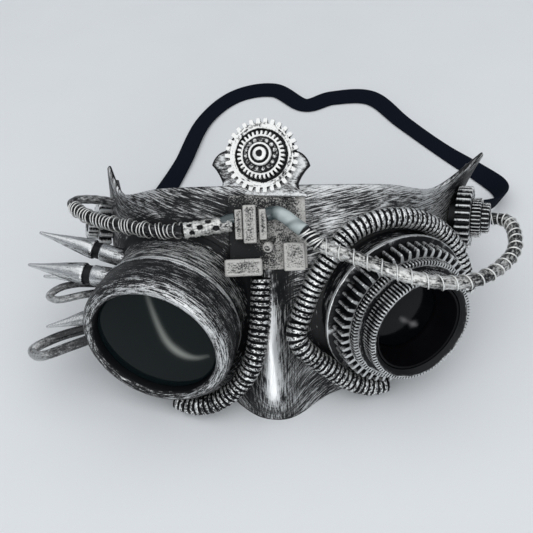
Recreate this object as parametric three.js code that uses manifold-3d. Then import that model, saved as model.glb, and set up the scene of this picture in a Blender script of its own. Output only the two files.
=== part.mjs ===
// Half-face mask with goggles, gears, hoses, cables, spikes and a loose elastic strap.
// Millimetres, +Z up, face towards -Y. It leans back on its nose and on its two temple wings.
import * as THREE from "three";
import { mergeVertices } from "three/addons/utils/BufferGeometryUtils.js";
import Module from "manifold-3d";

const wasm = await Module();
wasm.setup();

// Driving sizes of the shell
const wallThickness = 2.0;
const seatGap = 0.3;
const rowsUpFace = 8;

// Goggles: the points are the middle of the left rim and of the right flange
const leftRim = [-44.2, 11.9, 37.1];
const leftAxis = [-0.29, -0.94, 0.18];
const bezelRadius = 30.6;
const leftOpeningRadius = 24.9;
const bezelLength = 16.0;
const barrelRadius = 28.2;
const barrelBore = 24.6;
const leftLensRadius = 24.6;
const rightFlange = [51.8, 27.6, 32.4];
const rightAxis = [0.4, -0.87, 0.28];
const flangeRadius = 32.0;
const cupRadius = 28.5;
const cupBore = 24.0;
const rightOpeningRadius = 19.2;
const rightLensRadius = 15.1;

// Crest and bridge block, each with its own middle and facing direction
const crestCentre = [0.3, 64.8, 83.4];
const crestFacing = [-0.16, -0.66, 0.735];
const crestPlateThickness = 2.4;
const crestPlateTurn = 0.11;
const crestPlateShift = -0.8;
const bridgeCentre = [1.0, 43.2, 63.4];
const bridgeFacing = [0.0, -0.66, 0.75];
const bridgeWidth = 30.0;
const bridgeHeight = 29.2;

// Temple gear stacks
const rightTemple = [80.8, 66.9, 43.8];
const rightTempleAxis = [0.93, -0.31, 0.17];
const leftTemple = [-67.5, 73.5, 41.0];
const leftTempleAxis = [-0.92, -0.22, 0.33];

// Hoses, cables and strap
const hoseRadius = 4.15;
const hoseGroove = 0.75;
const hosePitch = 6.4;
const hoseSides = 6;
const cableRightRadius = 2.8;
const cableLeftRadius = 2.7;
const sleeveRadius = 3.1;
const elbowRadius = 2.7;
const strapWidth = 10.0;
const strapThickness = 1.0;
const strapSteps = 40;

const vec = (row) => new THREE.Vector3(row[0], row[1], row[2]);
const unit = (row) => vec(row).normalize();

// Closed geometry to a boolean solid and back
function solidOf(geometry) {
  const plain = geometry.clone();
  for (const name of Object.keys(plain.attributes)) {
    if (name !== "position") plain.deleteAttribute(name);
  }
  const merged = mergeVertices(plain, 1e-4);
  return new wasm.Manifold(new wasm.Mesh({
    numProp: 3,
    vertProperties: new Float32Array(merged.attributes.position.array),
    triVerts: new Uint32Array(merged.index.array),
  }));
}

// Largest body left after a cut, so that trimmed-off ends drop away
function mainBody(solid) {
  const bodies = solid.decompose();
  return bodies.reduce((best, body) => (body.volume() > best.volume() ? body : best));
}

function geometryOf(solid) {
  const mesh = mainBody(solid).getMesh();
  const geometry = new THREE.BufferGeometry();
  geometry.setAttribute("position", new THREE.BufferAttribute(new Float32Array(mesh.vertProperties), 3));
  geometry.setIndex(new THREE.BufferAttribute(new Uint32Array(mesh.triVerts), 1));
  geometry.computeVertexNormals();
  return geometry;
}

// Smooth curve through the rows of a table, at a fractional row number
function blend(rows, key, at) {
  const last = rows.length - 1;
  const low = Math.min(Math.max(Math.floor(at), 0), last - 1);
  const t = at - low;
  const value = (i) => rows[Math.min(Math.max(i, 0), last)][key];
  const [a, b, c, d] = [value(low - 1), value(low), value(low + 1), value(low + 2)];
  return b + 0.5 * t * (c - a + t * (2 * a - 5 * b + 4 * c - d + t * (3 * (b - c) + d - a)));
}

// Reading of a table between its rows, eased from one row to the next
function lookUp(rows, at, key, value) {
  const next = rows.findIndex((row) => row[key] >= at);
  if (next <= 0) return rows[Math.max(next, 0)][value];
  const low = rows[next - 1];
  const high = rows[next];
  const share = (at - low[key]) / (high[key] - low[key]);
  const eased = share * share * (3 - 2 * share);
  return low[value] + (high[value] - low[value]) * eased;
}

// Lower rim and brow edge of the shell, from the left rear edge to the right rear edge
const shellStations = [
  { place: "left rear", xLow: -66, yLow: 98, zLow: -1.2, xTop: -65, yTop: 90, zTop: 52, bulge: 0 },
  { place: "left temple", xLow: -67, yLow: 75, zLow: -0.2, xTop: -64, yTop: 80, zTop: 57, bulge: 2.5 },
  { place: "left cheek", xLow: -60, yLow: 47, zLow: 1.5, xTop: -57, yTop: 69, zTop: 62, bulge: 5 },
  { place: "left eye", xLow: -45, yLow: 26, zLow: 2.5, xTop: -43, yTop: 62.5, zTop: 70, bulge: 8 },
  { place: "left of nose", xLow: -24, yLow: 16, zLow: 1.5, xTop: -25, yTop: 58, zTop: 74, bulge: 4.5 },
  { place: "nose", xLow: 0, yLow: 7, zLow: -1.6, xTop: 0, yTop: 56.5, zTop: 74.5, bulge: 2 },
  { place: "right of nose", xLow: 24, yLow: 9.0, zLow: 1.5, xTop: 25, yTop: 57, zTop: 73.5, bulge: 7 },
  { place: "right eye", xLow: 47, yLow: 20, zLow: 2.5, xTop: 50, yTop: 60.5, zTop: 69, bulge: 8 },
  { place: "right cheek", xLow: 68, yLow: 44, zLow: 1.5, xTop: 68, yTop: 65.5, zTop: 61, bulge: 6 },
  { place: "right temple", xLow: 83, yLow: 72, zLow: -0.2, xTop: 81, yTop: 76, zTop: 56, bulge: 3 },
  { place: "right rear", xLow: 92, yLow: 98, zLow: -1.2, xTop: 91, yTop: 90, zTop: 52, bulge: 0 },
];

// Nose ridge: forward reach, half width and bluntness across, from the lip up to the brow
const noseRidge = [
  { up: 0.0, height: 9.6, width: 16, blunt: 2.8 },
  { up: 0.18, height: 15.5, width: 11.5, blunt: 2.3 },
  { up: 0.4, height: 12.4, width: 7.6, blunt: 2 },
  { up: 0.58, height: 6.6, width: 6.4, blunt: 2 },
  { up: 0.75, height: 3.0, width: 9, blunt: 2 },
  { up: 1.0, height: 0.0, width: 12, blunt: 2 },
];

// Columns of the shell's grid, closer together across the nose
const shellColumns = [
  { from: 0, to: 4, steps: 12 },
  { from: 4, to: 6, steps: 8 },
  { from: 6, to: 10, steps: 12 },
];

// Horns: station of the tip, reach of each flank in stations, hollow of the flanks, rise and outward flare
const horns = [
  { station: 1.0, before: 0.67, after: 0.9, hollow: 2.0, rise: 10.5, flare: 1.0 },
  { station: 9.0 + 1 / 3, before: 1.67, after: 0.67, hollow: 3.2, rise: 13.6, flare: 8.0 },
];

const lowPoint = (u) => new THREE.Vector3(
  blend(shellStations, "xLow", u),
  blend(shellStations, "yLow", u),
  blend(shellStations, "zLow", u),
);

const topPoint = (u) => new THREE.Vector3(
  blend(shellStations, "xTop", u),
  blend(shellStations, "yTop", u),
  blend(shellStations, "zTop", u),
);

// Outward direction of the ruled face between the two rims
function faceOutward(u) {
  const ahead = lowPoint(u + 0.05).add(topPoint(u + 0.05));
  const behind = lowPoint(u - 0.05).add(topPoint(u - 0.05));
  const rise = topPoint(u).sub(lowPoint(u));
  return ahead.sub(behind).cross(rise).normalize();
}

function hornShare(u) {
  let best = { share: 0, rise: 0, flare: 0 };
  for (const horn of horns) {
    const reach = u < horn.station ? horn.before : horn.after;
    const share = Math.max(0, 1 - Math.abs(u - horn.station) / reach) ** horn.hollow;
    if (share > best.share) best = { share, rise: horn.rise, flare: horn.flare };
  }
  return best;
}

function facePoint(u, v) {
  const low = lowPoint(u);
  const rise = topPoint(u).sub(low);
  const outward = faceOutward(u);
  const horn = hornShare(u);
  const point = low.clone().addScaledVector(rise, v);
  const height = lookUp(noseRidge, v, "up", "height");
  const width = lookUp(noseRidge, v, "up", "width");
  const blunt = lookUp(noseRidge, v, "up", "blunt");
  const nose = height * Math.exp(-((Math.abs(point.x) / width) ** blunt));
  const swell = blend(shellStations, "bulge", u) * Math.sin(Math.PI * v ** 1.2);
  const nearTop = Math.max(0, (v - 0.72) / 0.28) ** 2;
  point.y -= nose;
  point.addScaledVector(outward, swell + horn.flare * horn.share * nearTop);
  return point.addScaledVector(rise.normalize(), horn.rise * horn.share * nearTop);
}

function shellPoint(u, v, outset) {
  const step = 0.02;
  const last = shellStations.length - 1;
  const uLow = Math.max(0, u - step);
  const uHigh = Math.min(last, u + step);
  const vLow = Math.max(0, v - step);
  const vHigh = Math.min(1, v + step);
  const across = facePoint(uHigh, v).sub(facePoint(uLow, v));
  const rise = facePoint(u, vHigh).sub(facePoint(u, vLow));
  return facePoint(u, v).addScaledVector(across.cross(rise).normalize(), outset);
}

// Closed wall between a front and a back sheet, each a function of station and height
function wallBetween(front, back, rows) {
  const points = [];
  const index = [];
  const stations = [0];
  for (const band of shellColumns) {
    for (let i = 1; i <= band.steps; i += 1) {
      stations.push(band.from + ((band.to - band.from) * i) / band.steps);
    }
  }
  const columns = stations.length - 1;
  const across = columns + 1;
  const sheet = across * (rows + 1);
  for (const side of [front, back]) {
    for (let j = 0; j <= rows; j += 1) {
      for (const u of stations) points.push(...side(u, j / rows).toArray());
    }
  }
  const quad = (a, b, c, d) => index.push(a, b, c, a, c, d);
  for (let j = 0; j < rows; j += 1) {
    for (let i = 0; i < columns; i += 1) {
      const a = j * across + i;
      quad(a, a + 1, a + 1 + across, a + across);
      quad(sheet + a, sheet + a + across, sheet + a + 1 + across, sheet + a + 1);
    }
  }
  for (let i = 0; i < columns; i += 1) {
    const top = rows * across + i;
    quad(sheet + i, sheet + i + 1, i + 1, i);
    quad(top, top + 1, sheet + top + 1, sheet + top);
  }
  for (let j = 0; j < rows; j += 1) {
    const left = j * across;
    const right = left + columns;
    quad(sheet + left, left, left + across, sheet + left + across);
    quad(right, sheet + right, sheet + right + across, right + across);
  }
  const geometry = new THREE.BufferGeometry();
  geometry.setAttribute("position", new THREE.BufferAttribute(new Float32Array(points), 3));
  geometry.setIndex(index);
  return geometry;
}

// Solid of revolution from a closed profile of radius and height, stood on an axis
function turned(profile, sides) {
  const points = profile.map(([radius, height]) => new THREE.Vector2(radius, height));
  const closes = profile[0][0] > 0;
  if (closes) points.push(points[0].clone());
  return new THREE.LatheGeometry(points, sides);
}

function standOn(geometry, foot, axis) {
  const turn = new THREE.Quaternion().setFromUnitVectors(new THREE.Vector3(0, 1, 0), unit(axis));
  return geometry.clone().applyQuaternion(turn).translate(foot[0], foot[1], foot[2]);
}

// Frame on a plane: width direction level, height direction up the slope, third one outward
function planeFrame(centre, facing) {
  const outward = unit(facing);
  const across = new THREE.Vector3(0, 0, 1).cross(outward).normalize();
  const upward = outward.clone().cross(across);
  return new THREE.Matrix4().makeBasis(across, upward, outward).setPosition(...centre);
}

// Gear outline with straight-flanked teeth, as an extruded ring or disc; fine teeth have sharp roots
function gear(teeth, tipRadius, rootRadius, boreRadius, thickness, fine) {
  const shape = new THREE.Shape();
  const coarseFlank = [
    { turn: 0.0, radius: rootRadius },
    { turn: 0.24, radius: rootRadius },
    { turn: 0.4, radius: tipRadius },
    { turn: 0.84, radius: tipRadius },
  ];
  const fineFlank = [
    { turn: 0.1, radius: rootRadius },
    { turn: 0.4, radius: tipRadius },
    { turn: 0.8, radius: tipRadius },
  ];
  const flank = fine ? fineFlank : coarseFlank;
  const corners = [];
  for (let tooth = 0; tooth < teeth; tooth += 1) {
    for (const { turn, radius } of flank) {
      const angle = (2 * Math.PI * (tooth + turn)) / teeth;
      corners.push(new THREE.Vector2(radius * Math.cos(angle), radius * Math.sin(angle)));
    }
  }
  shape.setFromPoints(corners);
  if (boreRadius > 0) shape.holes.push(new THREE.Path().absarc(0, 0, boreRadius, 0, 2 * Math.PI, true));
  return new THREE.ExtrudeGeometry(shape, { depth: thickness, bevelEnabled: false, curveSegments: 12 });
}

// An extruded gear stands along +Z: move it to a height on an axis
function gearOn(geometry, foot, axis, height) {
  const turn = new THREE.Quaternion().setFromUnitVectors(new THREE.Vector3(0, 0, 1), unit(axis));
  const at = vec(foot).addScaledVector(unit(axis), height);
  return geometry.clone().applyQuaternion(turn).translate(at.x, at.y, at.z);
}

// Closed body through rings of points, with flat ends
function bodyThrough(rings) {
  const count = rings[0].length;
  const points = rings.flat().flatMap((point) => point.toArray());
  const index = [];
  for (let j = 0; j + 1 < rings.length; j += 1) {
    for (let i = 0; i < count; i += 1) {
      const a = j * count + i;
      const b = j * count + ((i + 1) % count);
      index.push(a, b, b + count, a, b + count, a + count);
    }
  }
  const end = (rings.length - 1) * count;
  for (let i = 1; i + 1 < count; i += 1) {
    index.push(0, i + 1, i, end, end + i, end + i + 1);
  }
  const geometry = new THREE.BufferGeometry();
  geometry.setAttribute("position", new THREE.BufferAttribute(new Float32Array(points), 3));
  geometry.setIndex(index);
  return geometry;
}

const curveThrough = (rows) => new THREE.CatmullRomCurve3(rows.map(vec), false, "centripetal");

// Ribbed hose: two rings to a rib, crest and groove
function hose(route) {
  const curve = curveThrough(route);
  const ribs = Math.round(curve.getLength() / hosePitch);
  const frames = curve.computeFrenetFrames(2 * ribs, false);
  const rings = [];
  for (let j = 0; j <= 2 * ribs; j += 1) {
    const middle = curve.getPointAt(j / (2 * ribs));
    const radius = j % 2 === 0 ? hoseRadius - hoseGroove : hoseRadius;
    const ring = [];
    for (let i = 0; i < hoseSides; i += 1) {
      const angle = (2 * Math.PI * i) / hoseSides;
      ring.push(middle.clone()
        .addScaledVector(frames.normals[j], radius * Math.cos(angle))
        .addScaledVector(frames.binormals[j], radius * Math.sin(angle)));
    }
    rings.push(ring);
  }
  return bodyThrough(rings);
}

// Plain round cable or wire
function cable(route, radius, sides, steps) {
  const section = new THREE.Shape().absarc(0, 0, radius, 0, 2 * Math.PI, false);
  return new THREE.ExtrudeGeometry(section, {
    steps,
    curveSegments: sides,
    extrudePath: curveThrough(route),
    bevelEnabled: false,
  });
}

function box(width, height, depth) {
  return new THREE.BoxGeometry(width, height, depth);
}

// Block with small chamfers all round, standing on its base
function chamferedBlock(width, height, depth, chamfer) {
  const [w, h] = [width / 2, height / 2];
  const shape = new THREE.Shape().moveTo(-w, -h).lineTo(w, -h).lineTo(w, h).lineTo(-w, h).closePath();
  return new THREE.ExtrudeGeometry(shape, {
    depth: depth - 2 * chamfer,
    bevelEnabled: true,
    bevelThickness: chamfer,
    bevelSize: chamfer,
    bevelOffset: -chamfer,
    bevelSegments: 1,
  }).translate(0, 0, chamfer);
}

const group = new THREE.Group();
group.name = "steampunk_mask";

function addPiece(name, geometry, colour, roughness, metalness) {
  const material = new THREE.MeshStandardMaterial({ color: colour, roughness, metalness });
  const mesh = new THREE.Mesh(geometry, material);
  mesh.name = name;
  group.add(mesh);
}

const brushed = [0x6f7072, 0.45, 0.6];
const silver = [0xb4b5b6, 0.4, 0.7];
const black = [0x141416, 0.5, 0.0];
const glassDark = [0x1b1d18, 0.15, 0.0];
const rubber = [0x3a3c3f, 0.55, 0.2];

// Shell: wall, crest plate, eye holes, flat feet where it meets the table
const shellWall = solidOf(wallBetween(
  (u, v) => shellPoint(u, v, 0),
  (u, v) => shellPoint(u, v, -wallThickness),
  rowsUpFace,
));

// Space taken by the shell and what lies behind it, for seating the pieces that sit on it
const cutDepth = (u) => 8 + 24 * Math.max(0, 1 - ((u - 5) / 3.6) ** 2);
const shellSeat = solidOf(wallBetween(
  (u, v) => shellPoint(u, v, seatGap),
  (u, v) => shellPoint(u, v, seatGap).addScaledVector(faceOutward(u), -cutDepth(u)),
  rowsUpFace,
));

const crestHalf = [
  { across: 0, up: 11.8, pullAcross: 0, pullUp: 11.8 },
  { across: 14.0, up: 2.0, pullAcross: 11, pullUp: 11 },
  { across: 19.3, up: -3.6, pullAcross: 17.9, pullUp: 1.0 },
  { across: 14.9, up: -10.4, pullAcross: 16.4, pullUp: -6.4 },
  { across: 18.4, up: -14.2, pullAcross: 14.8, pullUp: -13.6 },
  { across: 18.4, up: -15.6, pullAcross: 18.4, pullUp: -14.6 },
];

function crestOutline() {
  const shape = new THREE.Shape();
  shape.moveTo(crestHalf[0].across, crestHalf[0].up);
  for (const row of crestHalf.slice(1)) {
    shape.quadraticCurveTo(row.pullAcross, row.pullUp, row.across, row.up);
  }
  for (let i = crestHalf.length - 1; i >= 0; i -= 1) {
    const row = crestHalf[i];
    const pull = crestHalf[Math.min(i + 1, crestHalf.length - 1)];
    shape.quadraticCurveTo(-pull.pullAcross, pull.pullUp, -row.across, row.up);
  }
  return shape;
}

const crestFrame = planeFrame(crestCentre, crestFacing);
const crestSlab = (grow, gap) => new THREE.ExtrudeGeometry(crestOutline(), {
  depth: crestPlateThickness + 2 * gap,
  bevelEnabled: false,
  curveSegments: 5,
}).scale(grow, grow, 1)
  .rotateZ(crestPlateTurn)
  .translate(crestPlateShift, 0, -crestPlateThickness - seatGap - gap)
  .applyMatrix4(crestFrame);

const eyeBore = (foot, axis, radius, from, to) => solidOf(
  standOn(turned([[0, from], [radius, from], [radius, to], [0, to]], 32), foot, axis),
);

const underTable = solidOf(box(400, 400, 40).translate(0, 60, -20));
const shellSolid = shellWall
  .add(solidOf(crestSlab(1, 0)))
  .subtract(eyeBore(leftRim, leftAxis, barrelBore - 1.5, -75, -10))
  .subtract(eyeBore(rightFlange, rightAxis, cupBore - 3.5, -60, 0))
  .subtract(underTable);
addPiece("mask_shell", geometryOf(shellSolid), ...brushed);

// Block of space well behind the shell at a station, to shorten the tubes that stand on it
const behindFace = (u) => solidOf(box(240, 240, 120).translate(0, 0, -60)
  .applyMatrix4(planeFrame(shellPoint(u, 0.5, -9).toArray(), faceOutward(u).toArray())));

// Left goggle: barrel on the shell, rounded bezel, recessed dark lens
const barrelFront = -bezelLength - seatGap;
const leftBarrel = solidOf(standOn(turned([
  [barrelBore, -62],
  [barrelRadius, -62],
  [barrelRadius, barrelFront - 1.4],
  [barrelRadius - 1.2, barrelFront],
  [barrelBore, barrelFront],
], 28), leftRim, leftAxis)).subtract(shellSeat).subtract(behindFace(3.3));
addPiece("left_barrel", geometryOf(leftBarrel), ...brushed);

const leftBezel = turned([
  [barrelBore - 0.4, -bezelLength],
  [bezelRadius - 2.2, -bezelLength],
  [bezelRadius - 0.5, -bezelLength + 1.6],
  [bezelRadius, -4.2],
  [bezelRadius - 0.3, -0.8],
  [bezelRadius - 2.4, 2.3],
  [leftOpeningRadius + 1.4, 2.7],
  [leftOpeningRadius, 0.9],
  [leftOpeningRadius, -8.6],
  [barrelBore - 0.4, -8.6],
], 28);
addPiece("left_bezel", standOn(leftBezel, leftRim, leftAxis), ...silver);

const leftLens = turned([[0, -3.4], [leftLensRadius, -3.4], [leftLensRadius, -1.8], [0, -0.6]], 24);
addPiece("left_lens", standOn(leftLens, leftRim, leftAxis), ...glassDark);

// Right goggle: dark cup with a thin flange and three stacked gear rings
const rightCup = solidOf(standOn(turned([
  [cupBore, -56],
  [cupRadius - 1.5, -56],
  [cupRadius, -1.8],
  [flangeRadius, -1.8],
  [flangeRadius, 0],
  [cupBore, 0],
], 28), rightFlange, rightAxis)).subtract(shellSeat).subtract(behindFace(6.9));
addPiece("right_cup", geometryOf(rightCup), ...black);

const rightStack = [
  { name: "right_gear_coarse", teeth: 36, tip: 30.0, root: 27.6, from: 0.3, to: 7.8, fine: true },
  { name: "right_gear_fine", teeth: 28, tip: 26.3, root: 24.8, from: 8.1, to: 10.8, fine: true },
  { name: "right_gear_ribbed", teeth: 26, tip: 22.7, root: 21.4, from: 11.1, to: 17.6, fine: true },
];
for (const row of rightStack) {
  const ring = gear(row.teeth, row.tip, row.root, rightOpeningRadius, row.to - row.from, row.fine);
  addPiece(row.name, gearOn(ring, rightFlange, rightAxis, row.from), ...silver);
}

const linerRadius = rightOpeningRadius - seatGap;
const rightLiner = turned([
  [rightLensRadius - 0.8, 0.5],
  [linerRadius, 0.5],
  [linerRadius, 16.8],
  [linerRadius - 1.2, 16.8],
  [linerRadius - 1.2, 9.4],
  [rightLensRadius + 0.4, 9.4],
  [rightLensRadius + 0.4, 2.4],
  [rightLensRadius - 0.8, 2.4],
], 20);
addPiece("right_liner", standOn(rightLiner, rightFlange, rightAxis), ...black);

const rightLens = turned([[0, 2.7], [rightLensRadius, 2.7], [rightLensRadius, 4.2], [0, 5.2]], 22);
addPiece("right_lens", standOn(rightLens, rightFlange, rightAxis), ...glassDark);

// Space kept clear round the goggles by the hoses, spikes and hooks
const leftClear = solidOf(standOn(turned([
  [0, -60],
  [barrelRadius + seatGap, -60],
  [barrelRadius + seatGap, barrelFront],
  [bezelRadius + seatGap, barrelFront + 0.1],
  [bezelRadius + seatGap, 3.0],
  [0, 3.0],
], 40), leftRim, leftAxis));
const rightClear = solidOf(standOn(turned([
  [0, -56],
  [cupRadius + seatGap, -56],
  [cupRadius + seatGap, -2.2],
  [flangeRadius + seatGap, -2.1],
  [flangeRadius + seatGap, 0.3],
  [30.4 + seatGap, 0.4],
  [30.4 + seatGap, 8.1],
  [0, 8.1],
], 40), rightFlange, rightAxis));

// Crest gears, stacked on the plate
const crestGears = [
  { name: "crest_gear", teeth: 30, tip: 14.5, root: 12.6, from: 0.0, to: 2.4, fine: false },
  { name: "crest_gear_fine", teeth: 20, tip: 9.3, root: 8.2, from: 2.7, to: 4.3, fine: true },
];
for (const row of crestGears) {
  const disc = gear(row.teeth, row.tip, row.root, 0, row.to - row.from, row.fine);
  addPiece(row.name, gearOn(disc, crestCentre, crestFacing, row.from), ...silver);
}
const crestHub = turned([
  [0, 4.6],
  [6.6, 4.6],
  [6.6, 5.6],
  [4.4, 5.9],
  [4.4, 7.2],
  [3.4, 7.2],
  [3.4, 6.4],
  [2.7, 6.4],
  [2.7, 7.6],
  [1.9, 8.2],
  [0, 8.2],
], 12);
addPiece("crest_hub", standOn(crestHub, crestCentre, crestFacing), ...silver);

// Bridge block over the nose: plate on the shell, clamp of three bars, cross bar, block and bolt
const bridgeFrame = planeFrame(bridgeCentre, bridgeFacing);
const onBridge = (geometry, across, up, out) => geometry
  .translate(across, up, out)
  .applyMatrix4(bridgeFrame);
const bridgeDepth = 16;
const bridgePlate = solidOf(onBridge(box(bridgeWidth, bridgeHeight, bridgeDepth), 0, 0, -bridgeDepth / 2))
  .subtract(shellSeat)
  .subtract(leftClear)
  .subtract(solidOf(crestSlab(1.03, seatGap)));
addPiece("bridge_plate", geometryOf(bridgePlate), ...silver);

const clampBars = [
  { name: "clamp_bar_left", across: -10.95, up: 3.2, width: 2.9, height: 11.5, depth: 4.2 },
  { name: "clamp_bar_middle", across: -6.7, up: 3.0, width: 5.0, height: 14.5, depth: 7.0 },
  { name: "clamp_bar_right", across: -1.7, up: 2.8, width: 3.0, height: 11.8, depth: 4.6 },
];
for (const bar of clampBars) {
  const solid = chamferedBlock(bar.width, bar.height, bar.depth, 0.5);
  addPiece(bar.name, onBridge(solid, bar.across, bar.up, seatGap), ...silver);
}

const crossBar = chamferedBlock(14.4, 6.6, 6.4, 1.4);
addPiece("cross_bar", onBridge(crossBar, -9.7, -13.4, seatGap), ...silver);

const squareBlock = chamferedBlock(8.2, 10.8, 5.4, 0.8);
addPiece("square_block", onBridge(squareBlock, 9.8, -10.0, seatGap), ...silver);

// Bolt leaning down to the left, its foot trimmed level with the plate
const boltLean = [-2.5, -3.6, 6.0];
const boltProfile = [[0, -2], [1.2, -2], [1.2, 5.0], [2.0, 5.0], [2.0, 6.9], [1.5, 7.4], [0, 7.4]];
const underPlate = box(12, 12, 12).translate(0, 0, seatGap - 6);
const bridgeBolt = solidOf(standOn(turned(boltProfile, 8), [0, 0, 0], boltLean))
  .subtract(solidOf(underPlate));
addPiece("bridge_bolt", onBridge(geometryOf(bridgeBolt), 1.9, -3.1, 0), ...silver);

// Temple gears: a neck seats each stack on its wing
function templeStack(names, foot, axis, rows, neckRadius) {
  rows.forEach((row, i) => {
    const disc = gear(row.teeth, row.tip, row.root, 0, row.to - row.from, i > 0);
    let solid = solidOf(gearOn(disc, foot, axis, row.from));
    if (i === 0) {
      const neck = turned([[0, -14], [neckRadius, -14], [neckRadius, 2], [0, 2]], 10);
      solid = solid.add(solidOf(standOn(neck, foot, axis))).subtract(shellSeat);
    }
    addPiece(names[i], geometryOf(solid), ...silver);
  });
}
const rightTempleRows = [
  { teeth: 18, tip: 13.2, root: 11.2, from: 1.4, to: 7.4 },
  { teeth: 18, tip: 8.4, root: 7.2, from: 7.7, to: 11.4 },
  { teeth: 12, tip: 6.4, root: 5.5, from: 11.7, to: 14.6 },
];
templeStack(
  ["right_temple_gear", "right_temple_fine_gear", "right_temple_hub"],
  rightTemple, rightTempleAxis, rightTempleRows, 6.5,
);
const leftTempleRows = [
  { teeth: 15, tip: 10.2, root: 8.6, from: 0, to: 5.4 },
  { teeth: 12, tip: 6.0, root: 5.1, from: 5.7, to: 9.4 },
];
templeStack(
  ["left_temple_gear", "left_temple_hub"],
  leftTemple, leftTempleAxis, leftTempleRows, 5.5,
);

// Hoses: routes chosen by eye, trimmed where they meet the shell and the goggles
const hoseRoutes = [
  {
    name: "hose_left",
    route: [
      [-2.2, 30.5, 51.4], [-2.6, 25.0, 45.8], [-3.3, 18.8, 39.6], [-4.7, 13.3, 33.6], [-6.6, 8.8, 27.4],
      [-10.4, 5.6, 20.2], [-16.4, 3.6, 13.2], [-24.6, 2.4, 7.6], [-32.4, 3.8, 4.9], [-39.0, 7.0, 4.6],
    ],
  },
  {
    name: "hose_right_upper",
    route: [
      [84.4, 43.4, 23.0], [81.6, 45.6, 33.2], [77.2, 49.8, 43.8], [70.4, 52.0, 51.4], [61.8, 50.4, 58.8],
      [53.0, 48.2, 63.2], [44.3, 45.8, 64.8], [36.8, 42.8, 64.4], [30.5, 39.2, 62.2], [25.6, 34.8, 58.6],
      [21.5, 31.2, 54.2], [17.6, 27.6, 48.8], [14.6, 23.6, 43.0], [12.2, 20.0, 37.6],
    ],
  },
  {
    name: "hose_right_lower",
    route: [
      [11.6, 19.2, 36.8], [10.6, 15.6, 33.0], [12.4, 13.0, 29.2], [16.2, 11.8, 24.6], [21.4, 10.4, 19.8],
      [27.8, 9.0, 14.0], [34.8, 8.2, 8.8], [41.6, 8.8, 5.6], [47.0, 10.8, 4.7],
    ],
  },
];
for (const row of hoseRoutes) {
  const solid = solidOf(hose(row.route)).subtract(shellSeat).subtract(leftClear).subtract(rightClear);
  addPiece(row.name, geometryOf(solid), ...rubber);
}

// Cables from the bridge block to the temples
const bridgeClear = solidOf(onBridge(
  box(bridgeWidth + 2 * seatGap, bridgeHeight + 2 * seatGap, bridgeDepth), 0, 0, -bridgeDepth / 2 + seatGap,
));
const cableLeft = solidOf(cable([
  [-31.5, 43.0, 66.4], [-41.0, 44.6, 65.0], [-51.0, 48.0, 64.2], [-61.0, 52.4, 62.8], [-69.9, 57.9, 61.4],
  [-76.6, 64.2, 60.4], [-79.0, 68.6, 59.4], [-77.0, 71.6, 58.4], [-71.0, 72.8, 57.2], [-62.0, 73.2, 54.6],
], cableLeftRadius, 4, 18)).subtract(shellSeat);
addPiece("cable_left", geometryOf(cableLeft), ...rubber);

const cableLeftSleeve = solidOf(cable([
  [-13.2, 45.4, 66.6], [-21.0, 43.4, 67.4], [-30.8, 42.9, 66.5],
], sleeveRadius, 4, 6)).subtract(shellSeat).subtract(bridgeClear);
addPiece("cable_left_sleeve", geometryOf(cableLeftSleeve), ...black);

const bridgePoint = (across, up, out) => new THREE.Vector3(across, up, out)
  .applyMatrix4(bridgeFrame)
  .toArray();
const elbowRoute = [
  bridgePoint(0.4, 7.6, 3.0), bridgePoint(3.6, 7.7, 3.6), bridgePoint(6.6, 6.4, 5.2),
  bridgePoint(9.9, 3.0, 6.9), bridgePoint(13.6, -0.4, 8.5),
];
const cableRightElbow = solidOf(cable(elbowRoute, elbowRadius, 4, 9)).subtract(bridgeClear);
addPiece("cable_right_elbow", geometryOf(cableRightElbow), ...rubber);

const hubPoint = (height) => vec(rightTemple).addScaledVector(unit(rightTempleAxis), height).toArray();
const cableRight = cable([
  bridgePoint(13.9, -0.7, 8.6), bridgePoint(20.0, -6.6, 10.4), [30.8, 26.0, 66.6], [41.2, 20.6, 66.0],
  [52.0, 16.6, 64.0], [62.8, 15.4, 61.6], [75.0, 17.9, 58.4], [84.6, 23.4, 56.4], [92.4, 30.4, 54.6],
  [97.6, 38.0, 53.4], [99.8, 45.6, 52.4], [100.6, 52.0, 51.0], [100.4, 57.4, 49.2], hubPoint(18.2),
  hubPoint(14.6 + seatGap),
], cableRightRadius, 4, 23);
addPiece("cable_right", cableRight, ...rubber);

// Spikes on collars and two wire hooks on the left barrel
const spikes = [
  { name: "spike_upper", tip: [-95.0, 65.0, 47.0], foot: [-52.0, 48.5, 43.0], radius: 4.1 },
  { name: "spike_middle", tip: [-98.0, 49.6, 44.0], foot: [-52.0, 36.5, 45.0], radius: 4.6 },
  { name: "spike_rear", tip: [-95.2, 53.6, 32.0], foot: [-54.0, 46.0, 35.0], radius: 3.0 },
  { name: "spike_low", tip: [-95.4, 38.4, 16.4], foot: [-56.0, 41.5, 24.0], radius: 4.1 },
];
const coneLength = 25.5;
for (const row of spikes) {
  const reach = vec(row.tip).sub(vec(row.foot));
  const length = reach.length();
  const shoulder = length - coneLength;
  const spike = turned([
    [0, 0],
    [row.radius * 0.9, 0],
    [row.radius * 0.9, shoulder - 2.6],
    [row.radius * 0.62, shoulder - 2.2],
    [row.radius * 0.62, shoulder - 0.9],
    [row.radius, shoulder - 0.5],
    [row.radius, shoulder + 0.8],
    [row.radius * 0.74, shoulder + 8],
    [0.35, length - 0.4],
    [0, length],
  ], 8);
  const solid = solidOf(standOn(spike, row.foot, reach.toArray())).subtract(leftClear).subtract(shellSeat);
  addPiece(row.name, geometryOf(solid), ...silver);
}

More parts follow.
